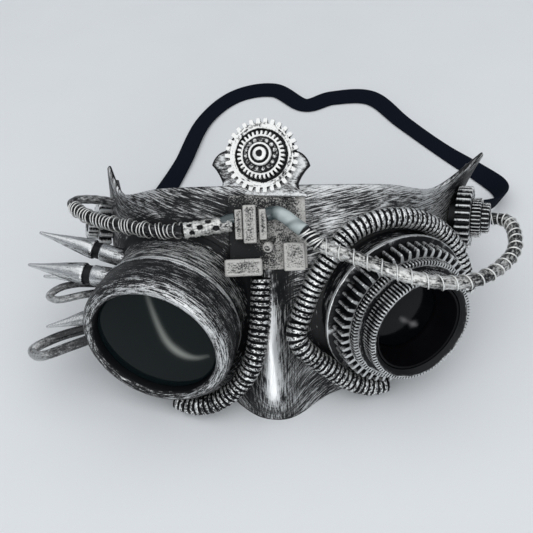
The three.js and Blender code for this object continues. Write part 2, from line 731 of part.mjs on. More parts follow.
const hooks = [
  {
    name: "hook_upper",
    radius: 1.75,
    route: [
      [-58.0, 43.0, 37.0], [-70.0, 43.4, 37.2], [-78.9, 43.6, 37.4], [-86.0, 42.2, 36.6],
      [-89.5, 39.4, 35.6], [-86.4, 37.0, 35.8], [-74.0, 37.8, 37.4], [-58.0, 39.2, 38.4],
    ],
  },
  {
    name: "hook_lower",
    radius: 2.1,
    route: [
      [-56.0, 33.0, 25.0], [-77.0, 29.6, 24.6], [-90.0, 26.6, 22.6], [-97.0, 22.6, 21.4],
      [-94.0, 19.2, 22.0], [-80.0, 20.4, 26.2], [-62.0, 23.6, 31.6],
    ],
  },
];
for (const row of hooks) {
  const solid = solidOf(cable(row.route, row.radius, 3, 17)).subtract(leftClear).subtract(shellSeat);
  addPiece(row.name, geometryOf(solid), ...silver);
}

// Strap: a flat band laid on the table; lean is 90 on edge and 0 flat
const strapInset = -wallThickness - 2 * seatGap - strapThickness / 2;
const strapEnd = (u, v) => shellPoint(u, v, strapInset).toArray();
const [rightEnd, leftEnd] = [strapEnd(9.66, 0.32), strapEnd(0.34, 0.32)];
const strapRoute = [
  { x: rightEnd[0], y: rightEnd[1], z: rightEnd[2], lean: 90 },
  { x: 88.9, y: 99.0, z: 14.4, lean: 90 },
  { x: 92.4, y: 104.4, z: 12.6, lean: 86 },
  { x: 99.0, y: 106.0, z: 10.6, lean: 84 },
  { x: 110.6, y: 110.0, z: 7.4, lean: 80 },
  { x: 119.4, y: 116.0, z: 5.8, lean: 70 },
  { x: 121.6, y: 126.4, z: 4.2, lean: 46 },
  { x: 114.4, y: 140.6, z: 2.4, lean: 22 },
  { x: 98.6, y: 162.8, z: 0.9, lean: 4 },
  { x: 81.6, y: 187.4, z: 1.1, lean: 5 },
  { x: 66.0, y: 210.4, z: 2.2, lean: 18 },
  { x: 43.7, y: 212.7, z: 1.8, lean: 14 },
  { x: 26.4, y: 207.4, z: 1.5, lean: 9 },
  { x: 9.0, y: 222.8, z: 2.0, lean: 15 },
  { x: -14.0, y: 218.8, z: 1.4, lean: 10 },
  { x: -32.2, y: 197.0, z: 1.0, lean: -4 },
  { x: -43.0, y: 161.5, z: 1.2, lean: -6 },
  { x: -51.4, y: 135.5, z: 2.8, lean: 22 },
  { x: -57.6, y: 114.0, z: 7.2, lean: 62 },
  { x: -61.4, y: 101.0, z: 13.6, lean: 88 },
  { x: leftEnd[0], y: leftEnd[1], z: leftEnd[2], lean: 90 },
];

function strapBand() {
  const last = strapRoute.length - 1;
  const middle = (at) => new THREE.Vector3(
    blend(strapRoute, "x", at),
    blend(strapRoute, "y", at),
    blend(strapRoute, "z", at),
  );
  const rings = [];
  for (let j = 0; j <= strapSteps; j += 1) {
    const at = (last * j) / strapSteps;
    const along = middle(Math.min(at + 0.05, last)).sub(middle(Math.max(at - 0.05, 0))).normalize();
    const lean = THREE.MathUtils.degToRad(blend(strapRoute, "lean", at));
    const level = along.clone().cross(new THREE.Vector3(0, 0, 1)).normalize();
    const steep = level.clone().cross(along).normalize();
    const wide = level.clone().multiplyScalar(Math.cos(lean)).addScaledVector(steep, Math.sin(lean));
    const thick = along.clone().cross(wide);
    const corner = (a, b) => middle(at)
      .addScaledVector(wide, (a * strapWidth) / 2)
      .addScaledVector(thick, (b * strapThickness) / 2);
    const ring = [corner(-1, -1), corner(1, -1), corner(1, 1), corner(-1, 1)];
    const lift = Math.max(0, 0.2 - Math.min(...ring.map((point) => point.z)));
    ring.forEach((point) => point.setZ(point.z + lift));
    rings.push(ring);
  }
  return bodyThrough(rings);
}
addPiece("strap", strapBand(), 0x16181d, 0.9, 0.0);

// Origin under the middle of the mask, strap left out of the measure
const reach = new THREE.Box3();
for (const mesh of group.children) {
  if (mesh.name !== "strap") reach.union(new THREE.Box3().setFromObject(mesh));
}
const middle = reach.getCenter(new THREE.Vector3());
for (const mesh of group.children) mesh.geometry.translate(-middle.x, -middle.y, -reach.min.z);

export default group;
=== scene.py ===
import math
import bmesh
import bpy
import numpy as np
from mathutils import Matrix, Vector
from mathutils.bvhtree import BVHTree


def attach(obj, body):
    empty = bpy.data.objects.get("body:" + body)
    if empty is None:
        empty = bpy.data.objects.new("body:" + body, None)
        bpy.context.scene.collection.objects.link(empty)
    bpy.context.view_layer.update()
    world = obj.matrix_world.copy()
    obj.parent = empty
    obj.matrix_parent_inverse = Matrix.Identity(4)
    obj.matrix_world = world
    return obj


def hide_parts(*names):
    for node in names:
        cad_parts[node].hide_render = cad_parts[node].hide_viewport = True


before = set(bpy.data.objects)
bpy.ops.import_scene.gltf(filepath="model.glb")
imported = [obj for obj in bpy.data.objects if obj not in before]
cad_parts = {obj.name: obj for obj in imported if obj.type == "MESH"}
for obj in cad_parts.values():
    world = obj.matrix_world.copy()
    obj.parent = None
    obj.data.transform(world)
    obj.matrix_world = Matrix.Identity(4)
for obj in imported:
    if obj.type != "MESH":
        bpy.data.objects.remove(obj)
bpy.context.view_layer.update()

print("frame loaded, nodes:", len(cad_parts))

# Sizes below are in millimetres from the nose's foot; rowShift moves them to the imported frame
rowShift = np.array([-2.183, -48.034, 0.0])


def inFrame(points):
    return (np.asarray(points, float) + rowShift) * 0.001


def unit(v):
    v = np.asarray(v, float)
    return v / np.linalg.norm(v, axis=-1, keepdims=True)


# even angles round a full turn
def ringTurn(count):
    return np.linspace(0, 2 * math.pi, count, endpoint=False)


# direction of each angle in the plane of two axes
def spokes(turn, across, upward):
    return np.cos(turn)[:, None] * across + np.sin(turn)[:, None] * upward


# length along a line up to each of its points
def runLength(line):
    return np.concatenate([[0], np.cumsum(np.linalg.norm(np.diff(line, axis=0), axis=1))])


# first and last row once more, for the rows that close the ends of a tube
def withEnds(rows):
    return np.concatenate([rows[:1], rows, rows[-1:]])


def linkObject(name, data):
    thing = bpy.data.objects.new(name, data)
    bpy.context.collection.objects.link(thing)
    return thing


# camera at the photograph's angle: pitch down, small roll, focal length in picture widths
cameraSet = {"at": (0.0, -167.0, 277.0), "pitch": 48.0, "roll": 2.5, "focal": 774.0 / 533.0, "sensor": 36.0}


def makeCamera():
    pitch, roll = math.radians(cameraSet["pitch"]), math.radians(cameraSet["roll"])
    ahead = Vector((0, math.cos(pitch), -math.sin(pitch)))
    above = Vector((0, math.sin(pitch), math.cos(pitch)))
    side = Vector((1, 0, 0))
    right = side * math.cos(roll) - above * math.sin(roll)
    up = side * math.sin(roll) + above * math.cos(roll)
    data = bpy.data.cameras.new("camera")
    data.sensor_width = cameraSet["sensor"]
    data.lens = cameraSet["sensor"] * cameraSet["focal"]
    data.clip_start = 0.01
    eye = linkObject("camera", data)
    turn = Matrix((right, up, -ahead)).transposed().to_4x4()
    eye.matrix_world = Matrix.Translation(inFrame(cameraSet["at"])) @ turn
    bpy.context.scene.camera = eye


makeCamera()
print("camera set")


# quads between neighbouring grid points, wrapped where the grid closes on itself
def gridFaces(rows, cols, closeRows=False, closeCols=False):
    i, j = np.meshgrid(
        np.arange(rows if closeRows else rows - 1),
        np.arange(cols if closeCols else cols - 1), indexing="ij")
    nextI, nextJ = (i + 1) % rows, (j + 1) % cols
    quads = [i * cols + j, nextI * cols + j, nextI * cols + nextJ, i * cols + nextJ]
    return np.stack(quads, -1).reshape(-1, 4)


# values on a mesh's points: single numbers, or vectors of three
def setAttribute(mesh, name, values, vector=False):
    kind, field = ("FLOAT_VECTOR", "vector") if vector else ("FLOAT", "value")
    layer = mesh.attributes.new(name, kind, "POINT")
    layer.data.foreach_set(field, np.asarray(values, np.float32).ravel())


# smooth faces with sharp edges above an angle, one paint, and the object that carries them
def dressMesh(name, mesh, material, sharp):
    mesh.polygons.foreach_set("use_smooth", np.ones(len(mesh.polygons), bool))
    mesh.set_sharp_from_angle(angle=math.radians(sharp))
    mesh.materials.clear()
    mesh.materials.append(material)
    return linkObject(name, mesh)


# wear and light level: 1 on worn high places and painted highlights, 0 in recesses and painted shade; paint:
# coordinates in mm that the brush strokes follow; cross: a second set of such coordinates and its share,
# where the strokes change direction
def makePiece(name, points, faces, material, wearAndLight=0.6, paint=None, sharp=38.0, cross=None):
    points = np.asarray(points, float).reshape(-1, 3)
    mesh = bpy.data.meshes.new(name)
    mesh.from_pydata(inFrame(points).tolist(), [], faces.tolist())
    setAttribute(mesh, "wearAndLight", np.broadcast_to(wearAndLight, np.shape(wearAndLight) or (len(points),)))
    setAttribute(mesh, "paint", points if paint is None else paint, True)
    if cross is not None:
        setAttribute(mesh, "crossPaint", cross[0], True)
        setAttribute(mesh, "crossShare", cross[1])
    work = bmesh.new()
    work.from_mesh(mesh)
    bmesh.ops.remove_doubles(work, verts=work.verts, dist=1e-6)
    bmesh.ops.recalc_face_normals(work, faces=work.faces)
    work.to_mesh(mesh)
    work.free()
    return dressMesh(name, mesh, material, sharp)


def settle(piece, slot, *nodes):
    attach(piece, "root")
    if nodes:
        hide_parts(*nodes)
    return piece


# several grids as one piece: points, faces, raised and paint joined end to end
def joinGrids(grids):
    start, points, faces, wearAndLight, paint = 0, [], [], [], []
    for grid in grids:
        flat = grid["points"].reshape(-1, 3)
        points.append(flat)
        faces.append(grid["faces"] + start)
        wearAndLight.append(np.broadcast_to(grid["wearAndLight"], grid["points"].shape[:-1]).reshape(-1))
        paint.append(grid["paint"].reshape(-1, 3))
        start += len(flat)
    return np.concatenate(points), np.concatenate(faces), np.concatenate(wearAndLight), np.concatenate(paint)


# smooth curve through a table's values at fractional row numbers: uniform cubic through four neighbours
def tableCurve(values, at):
    values, at = np.asarray(values, float), np.asarray(at, float)
    last = len(values) - 1
    low = np.clip(np.floor(at), 0, last - 1).astype(int)
    t = at - low
    if values.ndim > 1:
        t = t[..., None]
    a, b, c, d = (values[np.clip(low + k, 0, last)] for k in (-1, 0, 1, 2))
    return b + 0.5 * t * (c - a + t * (2 * a - 5 * b + 4 * c - d + t * (3 * (b - c) + d - a)))


# route through points with spacing-weighted tangents, then resampled to equal steps of its length
def routeCurve(rows, count, fine=48):
    rows = np.asarray(rows, float)
    ends = np.vstack([2 * rows[0] - rows[1], rows, 2 * rows[-1] - rows[-2]])
    p0, p1, p2, p3 = ends[:-3], ends[1:-2], ends[2:-1], ends[3:]
    gap = lambda a, b: np.sqrt(np.linalg.norm(b - a, axis=1))[:, None]
    d0, d1, d2 = gap(p0, p1), gap(p1, p2), gap(p2, p3)
    t1 = d1 * ((p1 - p0) / d0 - (p2 - p0) / (d0 + d1) + (p2 - p1) / d1)
    t2 = d1 * ((p2 - p1) / d1 - (p3 - p1) / (d1 + d2) + (p3 - p2) / d2)
    t = np.linspace(0, 1, fine, endpoint=False)[None, :, None]
    cubic = (p1[:, None] + t1[:, None] * t + (3 * (p2 - p1) - 2 * t1 - t2)[:, None] * t ** 2
             + (2 * (p1 - p2) + t1 + t2)[:, None] * t ** 3)
    line = np.vstack([cubic.reshape(-1, 3), rows[-1]])
    run = runLength(line)
    at = np.linspace(0, run[-1], count)
    return np.stack([np.interp(at, run, line[:, k]) for k in range(3)], 1), at


# tangent, normal and binormal along a line, the normal kept nearest to a chosen direction
def lineFrame(line, lead):
    along = unit(np.gradient(line, axis=0))
    lead = np.broadcast_to(np.asarray(lead, float), line.shape)
    normal = unit(lead - (lead * along).sum(1, keepdims=True) * along)
    return along, normal, np.cross(along, normal)


# round body along a line: ring radius may change along it, ends closed on their middle
def tubeGrid(line, radius, sides, lead, wearAndLight=0.6, stretch=0.25, run=None, around=1.0):
    _, normal, binormal = lineFrame(line, lead)
    turn = ringTurn(sides)
    radius = np.broadcast_to(np.asarray(radius, float), (len(line),))
    ring = spokes(turn, normal[:, None, :], binormal[:, None, :])
    points = line[:, None, :] + radius[:, None, None] * ring
    cap = lambda k: np.repeat(line[k][None, None, :], sides, 1)
    points = np.concatenate([cap(0), points, cap(-1)])
    high = withEnds(np.broadcast_to(np.asarray(wearAndLight, float), (len(line),)))
    length = withEnds(runLength(line) if run is None else run)
    wide = float(radius.max()) * around
    paint = np.stack(np.broadcast_arrays(
        length[:, None] * stretch, wide * np.cos(turn)[None, :], wide * np.sin(turn)[None, :]), -1)
    return {"points": points, "faces": gridFaces(len(line) + 2, sides, False, True),
            "wearAndLight": np.repeat(high[:, None], sides, 1), "paint": paint}


# width level, height up the slope, third direction outward
def planeAxes(facing):
    outward = unit(facing)
    across = unit(np.cross((0, 0, 1.0), outward))
    return across, np.cross(outward, across), outward


# profile of (radius, height, wear and light level, toothShare) rows carried round an axis; the tooth
# table (turn, lift) takes toothShare * depth off the radius between the teeth
def turnedGrid(profile, foot, axis, sides=96, teeth=0, depth=0.0, table=None, brush=0.12):
    rows = np.array([tuple(row) + (0.6, 0.0)[len(row) - 2:] for row in profile], float)
    if teeth:
        table = np.asarray(table)
        turn = ((np.arange(teeth)[:, None] + table[None, :, 0]) / teeth).ravel() * 2 * math.pi
        lift = np.tile(table[:, 1], teeth)
    else:
        turn = ringTurn(sides)
        lift = np.ones(sides)
    across, upward, outward = planeAxes(axis)
    radius = rows[:, 0][:, None] - rows[:, 3][:, None] * depth * (1 - lift)[None, :]
    spoke = spokes(turn, across, upward)
    points = np.asarray(foot, float) + radius[..., None] * spoke + rows[:, 1][:, None, None] * outward
    ring = rows[0, 0] > 1e-6
    wearAndLight = rows[:, 2][:, None] * (1 - np.minimum(rows[:, 3], 1)[:, None] * 0.9 * (1 - lift)[None, :])
    steps = np.hypot(np.diff(rows[:, 0]), np.diff(rows[:, 1]))
    side = np.broadcast_to(np.concatenate([[0], np.cumsum(steps)])[:, None], radius.shape)
    wide = rows[:, 0].max() * brush
    paint = np.stack(np.broadcast_arrays(
        wide * np.cos(turn)[None, :], wide * np.sin(turn)[None, :], side), -1)
    return {"points": points, "faces": gridFaces(len(rows), len(turn), ring, True),
            "wearAndLight": wearAndLight, "paint": paint}


def pieceOf(name, grids, material, sharp=38.0):
    points, faces, wearAndLight, paint = joinGrids(grids)
    return makePiece(name, points, faces, material, wearAndLight, paint, sharp)


def addPiece(name, grids, paint, sharp, slot, *nodes):
    return settle(pieceOf(name, grids, paints[paint], sharp), slot, *nodes)


# a link or a plain value on each socket that is given
def fillSockets(tree, node, inputs):
    for key, value in inputs.items():
        if isinstance(value, bpy.types.NodeSocket):
            tree.links.new(value, node.inputs[key])
        else:
            node.inputs[key].default_value = value


def addNode(tree, kind, inputs, **settings):
    node = tree.nodes.new("ShaderNode" + kind)
    for key, value in settings.items():
        setattr(node, key, value)
    fillSockets(tree, node, inputs)
    return node


def attributeOf(tree, name, socket):
    return addNode(tree, "Attribute", {}, attribute_name=name).outputs[socket]


def calc(tree, kind, *values):
    return addNode(tree, "Math", dict(enumerate(values)), operation=kind).outputs[0]


def mixTints(tree, mask, low, high):
    return addNode(tree, "Mix", {0: mask, 6: low, 7: high}, data_type="RGBA").outputs[2]


def spreadMask(tree, mask, low, high):
    return addNode(tree, "MapRange", {"Value": mask, "To Min": low, "To Max": high}).outputs["Result"]


def reliefFrom(tree, height, strength, distance):
    sockets = {"Strength": strength, "Distance": distance, "Height": height}
    return addNode(tree, "Bump", sockets).outputs["Normal"]


def newMaterial(name):
    material = bpy.data.materials.new(name)
    material.use_nodes = True
    return material, material.node_tree, material.node_tree.nodes["Principled BSDF"]


# brush marks and pits as one shared group: strokes follow the paint attribute, pits the surface itself
brushStart = {"Amount": 0.5, "Softness": 0.2, "Stroke Scale": 1.6, "Stroke Share": 2.0, "Wear And Light Share": 0.9,
              "Patch Share": 0.5, "Pit Scale": 900.0, "Pit Share": 0.3}


# each mask counts from its middle, 0.5, by its share; the sum plus the amount is cut softly at 0.5
def makeBrushGroup():
    tree = bpy.data.node_groups.new("silverBrushing", "ShaderNodeTree")
    for name, start in brushStart.items():
        socket = tree.interface.new_socket(name=name, in_out="INPUT", socket_type="NodeSocketFloat")
        socket.default_value = start
    for name in ("Silver", "Height"):
        tree.interface.new_socket(name=name, in_out="OUTPUT", socket_type="NodeSocketFloat")
    given = tree.nodes.new("NodeGroupInput").outputs
    result = tree.nodes.new("NodeGroupOutput")
    surface = addNode(tree, "TexCoord", {}).outputs["Object"]

    def noise(vector, scale, detail, rough):
        sockets = {"Vector": vector, "Scale": scale, "Detail": detail, "Roughness": rough}
        return addNode(tree, "TexNoise", sockets).outputs["Fac"]

    def fromMiddle(mask, share):
        return calc(tree, "MULTIPLY", calc(tree, "SUBTRACT", mask, 0.5), share)

    paint, strokeScale = attributeOf(tree, "paint", "Vector"), given["Stroke Scale"]
    strokes = noise(paint, strokeScale, 5.0, 0.62)
    turned = noise(attributeOf(tree, "crossPaint", "Vector"), strokeScale, 5.0, 0.62)
    swing = calc(tree, "SUBTRACT", turned, strokes)
    swing = calc(tree, "MULTIPLY", swing, attributeOf(tree, "crossShare", "Fac"))
    strokes = calc(tree, "ADD", strokes, swing)
    sweeps = noise(paint, calc(tree, "MULTIPLY", strokeScale, 0.2), 3.0, 0.6)
    patches = noise(surface, 55.0, 2.0, 0.5)
    pits = noise(surface, given["Pit Scale"], 3.0, 0.6)
    level = fromMiddle(attributeOf(tree, "wearAndLight", "Fac"), given["Wear And Light Share"])
    for mask, share in ((patches, given["Patch Share"]), (pits, given["Pit Share"]),
                        (strokes, given["Stroke Share"]), (sweeps, 0.8)):
        level = calc(tree, "ADD", level, fromMiddle(mask, share))
    silver = addNode(tree, "MapRange", {
        "Value": calc(tree, "ADD", level, given["Amount"]),
        "From Min": calc(tree, "SUBTRACT", 0.5, given["Softness"]),
        "From Max": calc(tree, "ADD", 0.5, given["Softness"])}, interpolation_type="SMOOTHSTEP")
    height = calc(tree, "ADD", calc(tree, "MULTIPLY", strokes, 0.7), calc(tree, "MULTIPLY", pits, 0.6))
    fillSockets(tree, result, {"Silver": silver.outputs["Result"], "Height": height})
    return tree


brushGroup = makeBrushGroup()


# silver paint dragged over a dark moulding: the brushed mask picks colour, metal and gloss
def paintedMaterial(name, look):
    material, tree, shader = newMaterial(name)
    brush = addNode(tree, "Group", look["brush"], node_tree=brushGroup)
    mask = brush.outputs["Silver"]
    fillSockets(tree, shader, {
        "Base Color": mixTints(tree, mask, (*look["dark"], 1), (*look["silver"], 1)),
        "Roughness": spreadMask(tree, mask, look["roughDark"], look["roughSilver"]),
        "Metallic": spreadMask(tree, mask, 0.0, look["metal"]),
        "Specular IOR Level": look["gloss"],
        "Normal": reliefFrom(tree, brush.outputs["Height"], look["bump"], 0.0004)})
    return material


# the first eight feed the brush group: amount, softness, scale and share of strokes, shares of the wear and
# light level and of patches, scale and share of pits
def look(amount, soft, strokes, share, wearAndLight, patches, pitScale, pits,
         dark=(0.006, 0.0065, 0.0075), silver=(0.66, 0.67, 0.67), roughDark=0.42, roughSilver=0.34,
         metal=0.8, bump=0.4, gloss=0.2):
    brush = {"Amount": amount, "Softness": soft, "Stroke Scale": strokes, "Stroke Share": share,
             "Wear And Light Share": wearAndLight, "Patch Share": patches, "Pit Scale": pitScale, "Pit Share": pits}
    return {"brush": brush, "dark": dark, "silver": silver, "roughDark": roughDark,
            "roughSilver": roughSilver, "metal": metal, "bump": bump, "gloss": gloss}


finishes = {
    "shellPaint": look(0.38, 0.30, 2.3, 2.6, 0.9, 0.8, 1500.0, 0.4),
    "barrelPaint": look(0.34, 0.26, 2.4, 2.8, 0.9, 0.6, 1600.0, 0.6, silver=(0.84, 0.85, 0.84)),
    "bezelPaint": look(0.33, 0.26, 2.8, 2.5, 1.0, 0.3, 1700.0, 0.9),
    "gearPaint": look(0.30, 0.24, 1.8, 1.3, 1.7, 0.5, 1500.0, 0.9),
    "platePaint": look(0.50, 0.34, 1.6, 1.8, 1.0, 0.8, 1500.0, 0.6),
    "crestPaint": look(0.60, 0.22, 1.3, 2.0, 1.4, 0.6, 1100.0, 1.3, silver=(0.88, 0.88, 0.86),
                       metal=0.35, roughSilver=0.42),
    "blockPaint": look(0.48, 0.34, 1.6, 1.0, 0.9, 0.5, 1700.0, 1.7, silver=(0.50, 0.495, 0.47),
                       metal=0.25, roughSilver=0.45),
    "hosePaint": look(0.42, 0.20, 1.6, 2.2, 1.6, 0.4, 1000.0, 1.9, silver=(0.83, 0.84, 0.83),
                      roughSilver=0.3),
    "spikePaint": look(0.47, 0.30, 1.3, 1.7, 1.2, 0.5, 1100.0, 0.8, metal=1.0, roughSilver=0.24),
    "wirePaint": look(0.66, 0.26, 1.2, 1.2, 0.8, 0.4, 900.0, 0.4, silver=(0.80, 0.80, 0.78)),
    "hookPaint": look(0.34, 0.46, 1.4, 0.9, 1.1, 0.3, 1000.0, 0.7, roughDark=0.25, gloss=0.4),
    "cupPaint": look(0.44, 0.28, 2.6, 2.4, 0.9, 0.5, 900.0, 0.5, roughDark=0.35),
    "cablePaint": look(0.46, 0.30, 1.2, 1.6, 0.9, 1.2, 800.0, 1.0, silver=(0.70, 0.70, 0.68), metal=0.5),
    "corePaint": look(0.10, 0.46, 1.0, 1.6, 0.6, 0.6, 900.0, 0.8, roughDark=0.3),
}
paints = {name: paintedMaterial(name, values) for name, values in finishes.items()}


# plain finish with a fine grain in colour and gloss; a tint may take over where the wear and light level is
# high, which paints the reflections on the lenses and the highlight on the milky tube
def plainMaterial(name, colour, rough, grain, scale, bump, tint=None, sockets=()):
    material, tree, shader = newMaterial(name)
    place = addNode(tree, "TexCoord", {}).outputs["Object"]
    noise = addNode(tree, "TexNoise", {"Vector": place, "Scale": scale, "Detail": 4.0}).outputs["Fac"]
    low, high = np.array(colour) * (1 - grain), np.array(colour) * (1 + grain)
    base = mixTints(tree, noise, (*low, 1), (*high, 1))
    if tint:
        base = mixTints(tree, attributeOf(tree, "wearAndLight", "Fac"), base, (*tint, 1))
    gloss = spreadMask(tree, noise, rough * 0.8, rough * 1.2)
    fillSockets(tree, shader, {"Base Color": base, "Roughness": gloss, **dict(sockets)})
    if bump:
        fillSockets(tree, shader, {"Normal": reliefFrom(tree, noise, bump, 0.0003)})
    return material


# lenses, black liner and milky tube: colour, roughness, grain and its scale, bump, tint, single values; the
# tint is the colour of the painted reflection on the lenses and of the painted highlight and swirls on the
# milky tube
plainFinishes = {
    "lensSmoke": ((0.006, 0.011, 0.012), 0.05, 0.15, 60.0, 0.0, (0.34, 0.36, 0.33),
                  {"Transmission Weight": 0.35, "IOR": 1.3, "Specular IOR Level": 0.09}),
    "lensDeep": ((0.002, 0.003, 0.004), 0.12, 0.15, 60.0, 0.0, (0.30, 0.29, 0.30),
                 {"Transmission Weight": 0.25, "Specular IOR Level": 0.05}),
    "tubeBlack": ((0.003, 0.003, 0.004), 0.36, 0.4, 120.0, 0.05, None, {"Specular IOR Level": 0.1}),
    "tubeMilky": ((0.020, 0.034, 0.038), 0.16, 0.4, 240.0, 0.3, (0.44, 0.50, 0.50)),
}
paints.update({name: plainMaterial(name, *values) for name, values in plainFinishes.items()})
print("paints mixed:", len(paints))

# strap: route rows are x, y, z and lean of the band in degrees, 90 on edge and 0 flat
strapSet = {
    "width": 10.0, "thick": 1.0, "steps": 420, "sides": 28, "section": (0.6, 0.35), "lift": 0.2,
    "colour": (0.0035, 0.006, 0.012), "shade": (0.55, 1.5), "threads": (0.9, 0.8), "weaveDepth": 0.4,
    "rough": 0.85, "gloss": 0.08,
    "route": [
        (86.94, 90.18, 16.40, 90), (88.9, 99.0, 14.4, 90), (92.4, 104.4, 12.6, 86), (99.0, 106.0, 10.6, 84),
        (110.6, 110.0, 7.4, 80), (119.4, 116.0, 5.8, 70), (121.6, 126.4, 4.2, 46), (114.4, 140.6, 2.4, 22),
        (98.6, 162.8, 0.9, 4), (81.6, 187.4, 1.1, 5), (66.0, 210.4, 2.2, 18), (43.7, 212.7, 1.8, 14),
        (26.4, 207.4, 1.5, 9), (9.0, 222.8, 2.0, 15), (-14.0, 218.8, 1.4, 10), (-32.2, 197.0, 1.0, -4),
        (-43.0, 161.5, 1.2, -6), (-51.4, 135.5, 2.8, 22), (-57.6, 114.0, 7.2, 62), (-61.4, 101.0, 13.6, 88),
        (-63.49, 90.04, 16.37, 90),
    ],
}


# weave: product of two sine waves, threads per mm along and across the band
def elasticMaterial(name):
    material, tree, shader = newMaterial(name)
    paint = attributeOf(tree, "paint", "Vector")
    split = addNode(tree, "SeparateXYZ", {"Vector": paint}).outputs
    waves = [calc(tree, "SINE", calc(tree, "MULTIPLY", split[axis], 2 * math.pi * perMm))
             for axis, perMm in zip("XY", strapSet["threads"])]
    weave = addNode(tree, "MapRange", {"Value": calc(tree, "MULTIPLY", *waves), "From Min": -1.0})
    mask = weave.outputs["Result"]
    low, high = (np.array(strapSet["colour"]) * shade for shade in strapSet["shade"])
    fillSockets(tree, shader, {
        "Base Color": mixTints(tree, mask, (*low, 1), (*high, 1)),
        "Normal": reliefFrom(tree, mask, strapSet["weaveDepth"], 0.0002),
        "Roughness": strapSet["rough"], "Specular IOR Level": strapSet["gloss"]})
    return material


# band section (rounded rectangle: powers of cosine and sine) carried along the route; it turns by the lean
def makeStrap():
    rows = np.array(strapSet["route"])
    at = np.linspace(0, len(rows) - 1, strapSet["steps"])
    middle = tableCurve(rows[:, :3], at)
    lean = np.radians(tableCurve(rows[:, 3], at))
    along = unit(np.gradient(middle, axis=0))
    level = unit(np.cross(along, (0, 0, 1.0)))
    steep = np.cross(level, along)
    wide = level * np.cos(lean)[:, None] + steep * np.sin(lean)[:, None]
    thick = np.cross(along, wide)
    turn = ringTurn(strapSet["sides"])
    a, b = (np.sign(wave) * np.abs(wave) ** power * size / 2 for wave, power, size in zip(
        (np.cos(turn), np.sin(turn)), strapSet["section"], (strapSet["width"], strapSet["thick"])))
    points = middle[:, None] + a[:, None] * wide[:, None] + b[:, None] * thick[:, None]
    points[..., 2] += np.maximum(0, strapSet["lift"] - points[..., 2].min(1))[:, None]
    run = runLength(middle)
    paint = withEnds(np.stack(np.broadcast_arrays(run[:, None], a[None, :], b[None, :]), -1))
    cap = lambda grid, k: np.repeat(grid[k].mean(0)[None, None], len(turn), 1)
    points = np.concatenate([cap(points, 0), points, cap(points, -1)])
    faces = gridFaces(len(points), len(turn), False, True)
    piece = makePiece("elasticStrap", points, faces, elasticMaterial("elasticBand"), 0.5, paint, 60)
    settle(piece, "elastic_band", "strap")
    print("strap laid, mm:", round(float(run[-1]), 1))


makeStrap()

# face of the mask: station rows are low rim x, y, z, brow edge x, y, z and swell of the face between them;
# horn rows are station of the tip, reach before and after it, hollow of the flanks, rise and outward flare
shellSet = {
    "wall": 2.0, "columns": (70, 84, 70), "rows": 78, "tall": 78.0,
    "edge": [(0.006, 0.35), (0.009, 1.0), (0.006, 1.65)],
    "strokeStretch": 0.075, "strokeTilt": (-16, 9), "ringStroke": 3.6,
    "stations": [
        (-66, 98, -1.2, -65, 90, 52, 0), (-67, 75, -0.2, -64, 80, 57, 2.5), (-60, 47, 1.5, -57, 69, 62, 5),
        (-45, 26, 2.5, -43, 62.5, 70, 8), (-24, 16, 1.5, -25, 58, 74, 4.5), (0, 7, -1.6, 0, 56.5, 74.5, 2),
        (24, 9, 1.5, 25, 57, 73.5, 7), (47, 20, 2.5, 50, 60.5, 69, 8), (68, 44, 1.5, 68, 65.5, 61, 6),
        (83, 72, -0.2, 81, 76, 56, 3), (92, 98, -1.2, 91, 90, 52, 0),
    ],
    "noseUp": (0.0, 0.18, 0.4, 0.58, 0.75, 1.0),
    "noseHeight": (9.6, 15.5, 12.4, 6.6, 3.0, 0.0),
    "noseWidth": (16, 11.5, 7.6, 6.4, 9, 12),
    "noseBlunt": (2.8, 2.3, 2, 2, 2, 2),
    # up the nose: the ridge's painted highlight with some wear, and the painted shade on the nose flanks
    "ridgeUp": (0.0, 0.12, 0.20, 0.47, 0.55, 0.7, 0.76),
    "ridgeWearAndHighlight": (0.1, 0.15, 1.0, 1.0, 0.55, 0.5, 0.0),
    "flankShade": (0.14, 0.16, 0.22, 0.36, 0.5, 0.5, 0.0),
    # brow: painted light, lighter on the right and darker on the left
    "browAt": (-14, 0, 14, 30, 44),
    "browLightSide": (-0.16, 0.0, 0.06, 0.06, -0.06),
    "ridgeAt": 0.6, "ridgeWide": 2.9, "ridgePaint": 0.75, "flankWide": 13, "noseStrokes": 12,
    # horn: painted shade on the right horn; seat: painted shade and the unbrushed recess round the goggles;
    # cheek: darker low on the right cheek
    "edgePaint": (0.3, 0.03), "footPaint": (0.1, 0.05), "hornShade": 0.32, "seatDark": (0.7, 8),
    "cheekDark": 0.24, "insidePaint": -0.8,
    "horns": [(1.0, 0.67, 0.9, 2.0, 10.5, 1.0), (28 / 3, 1.67, 0.67, 3.2, 13.6, 8.0)],
}
stations = np.array(shellSet["stations"], float)
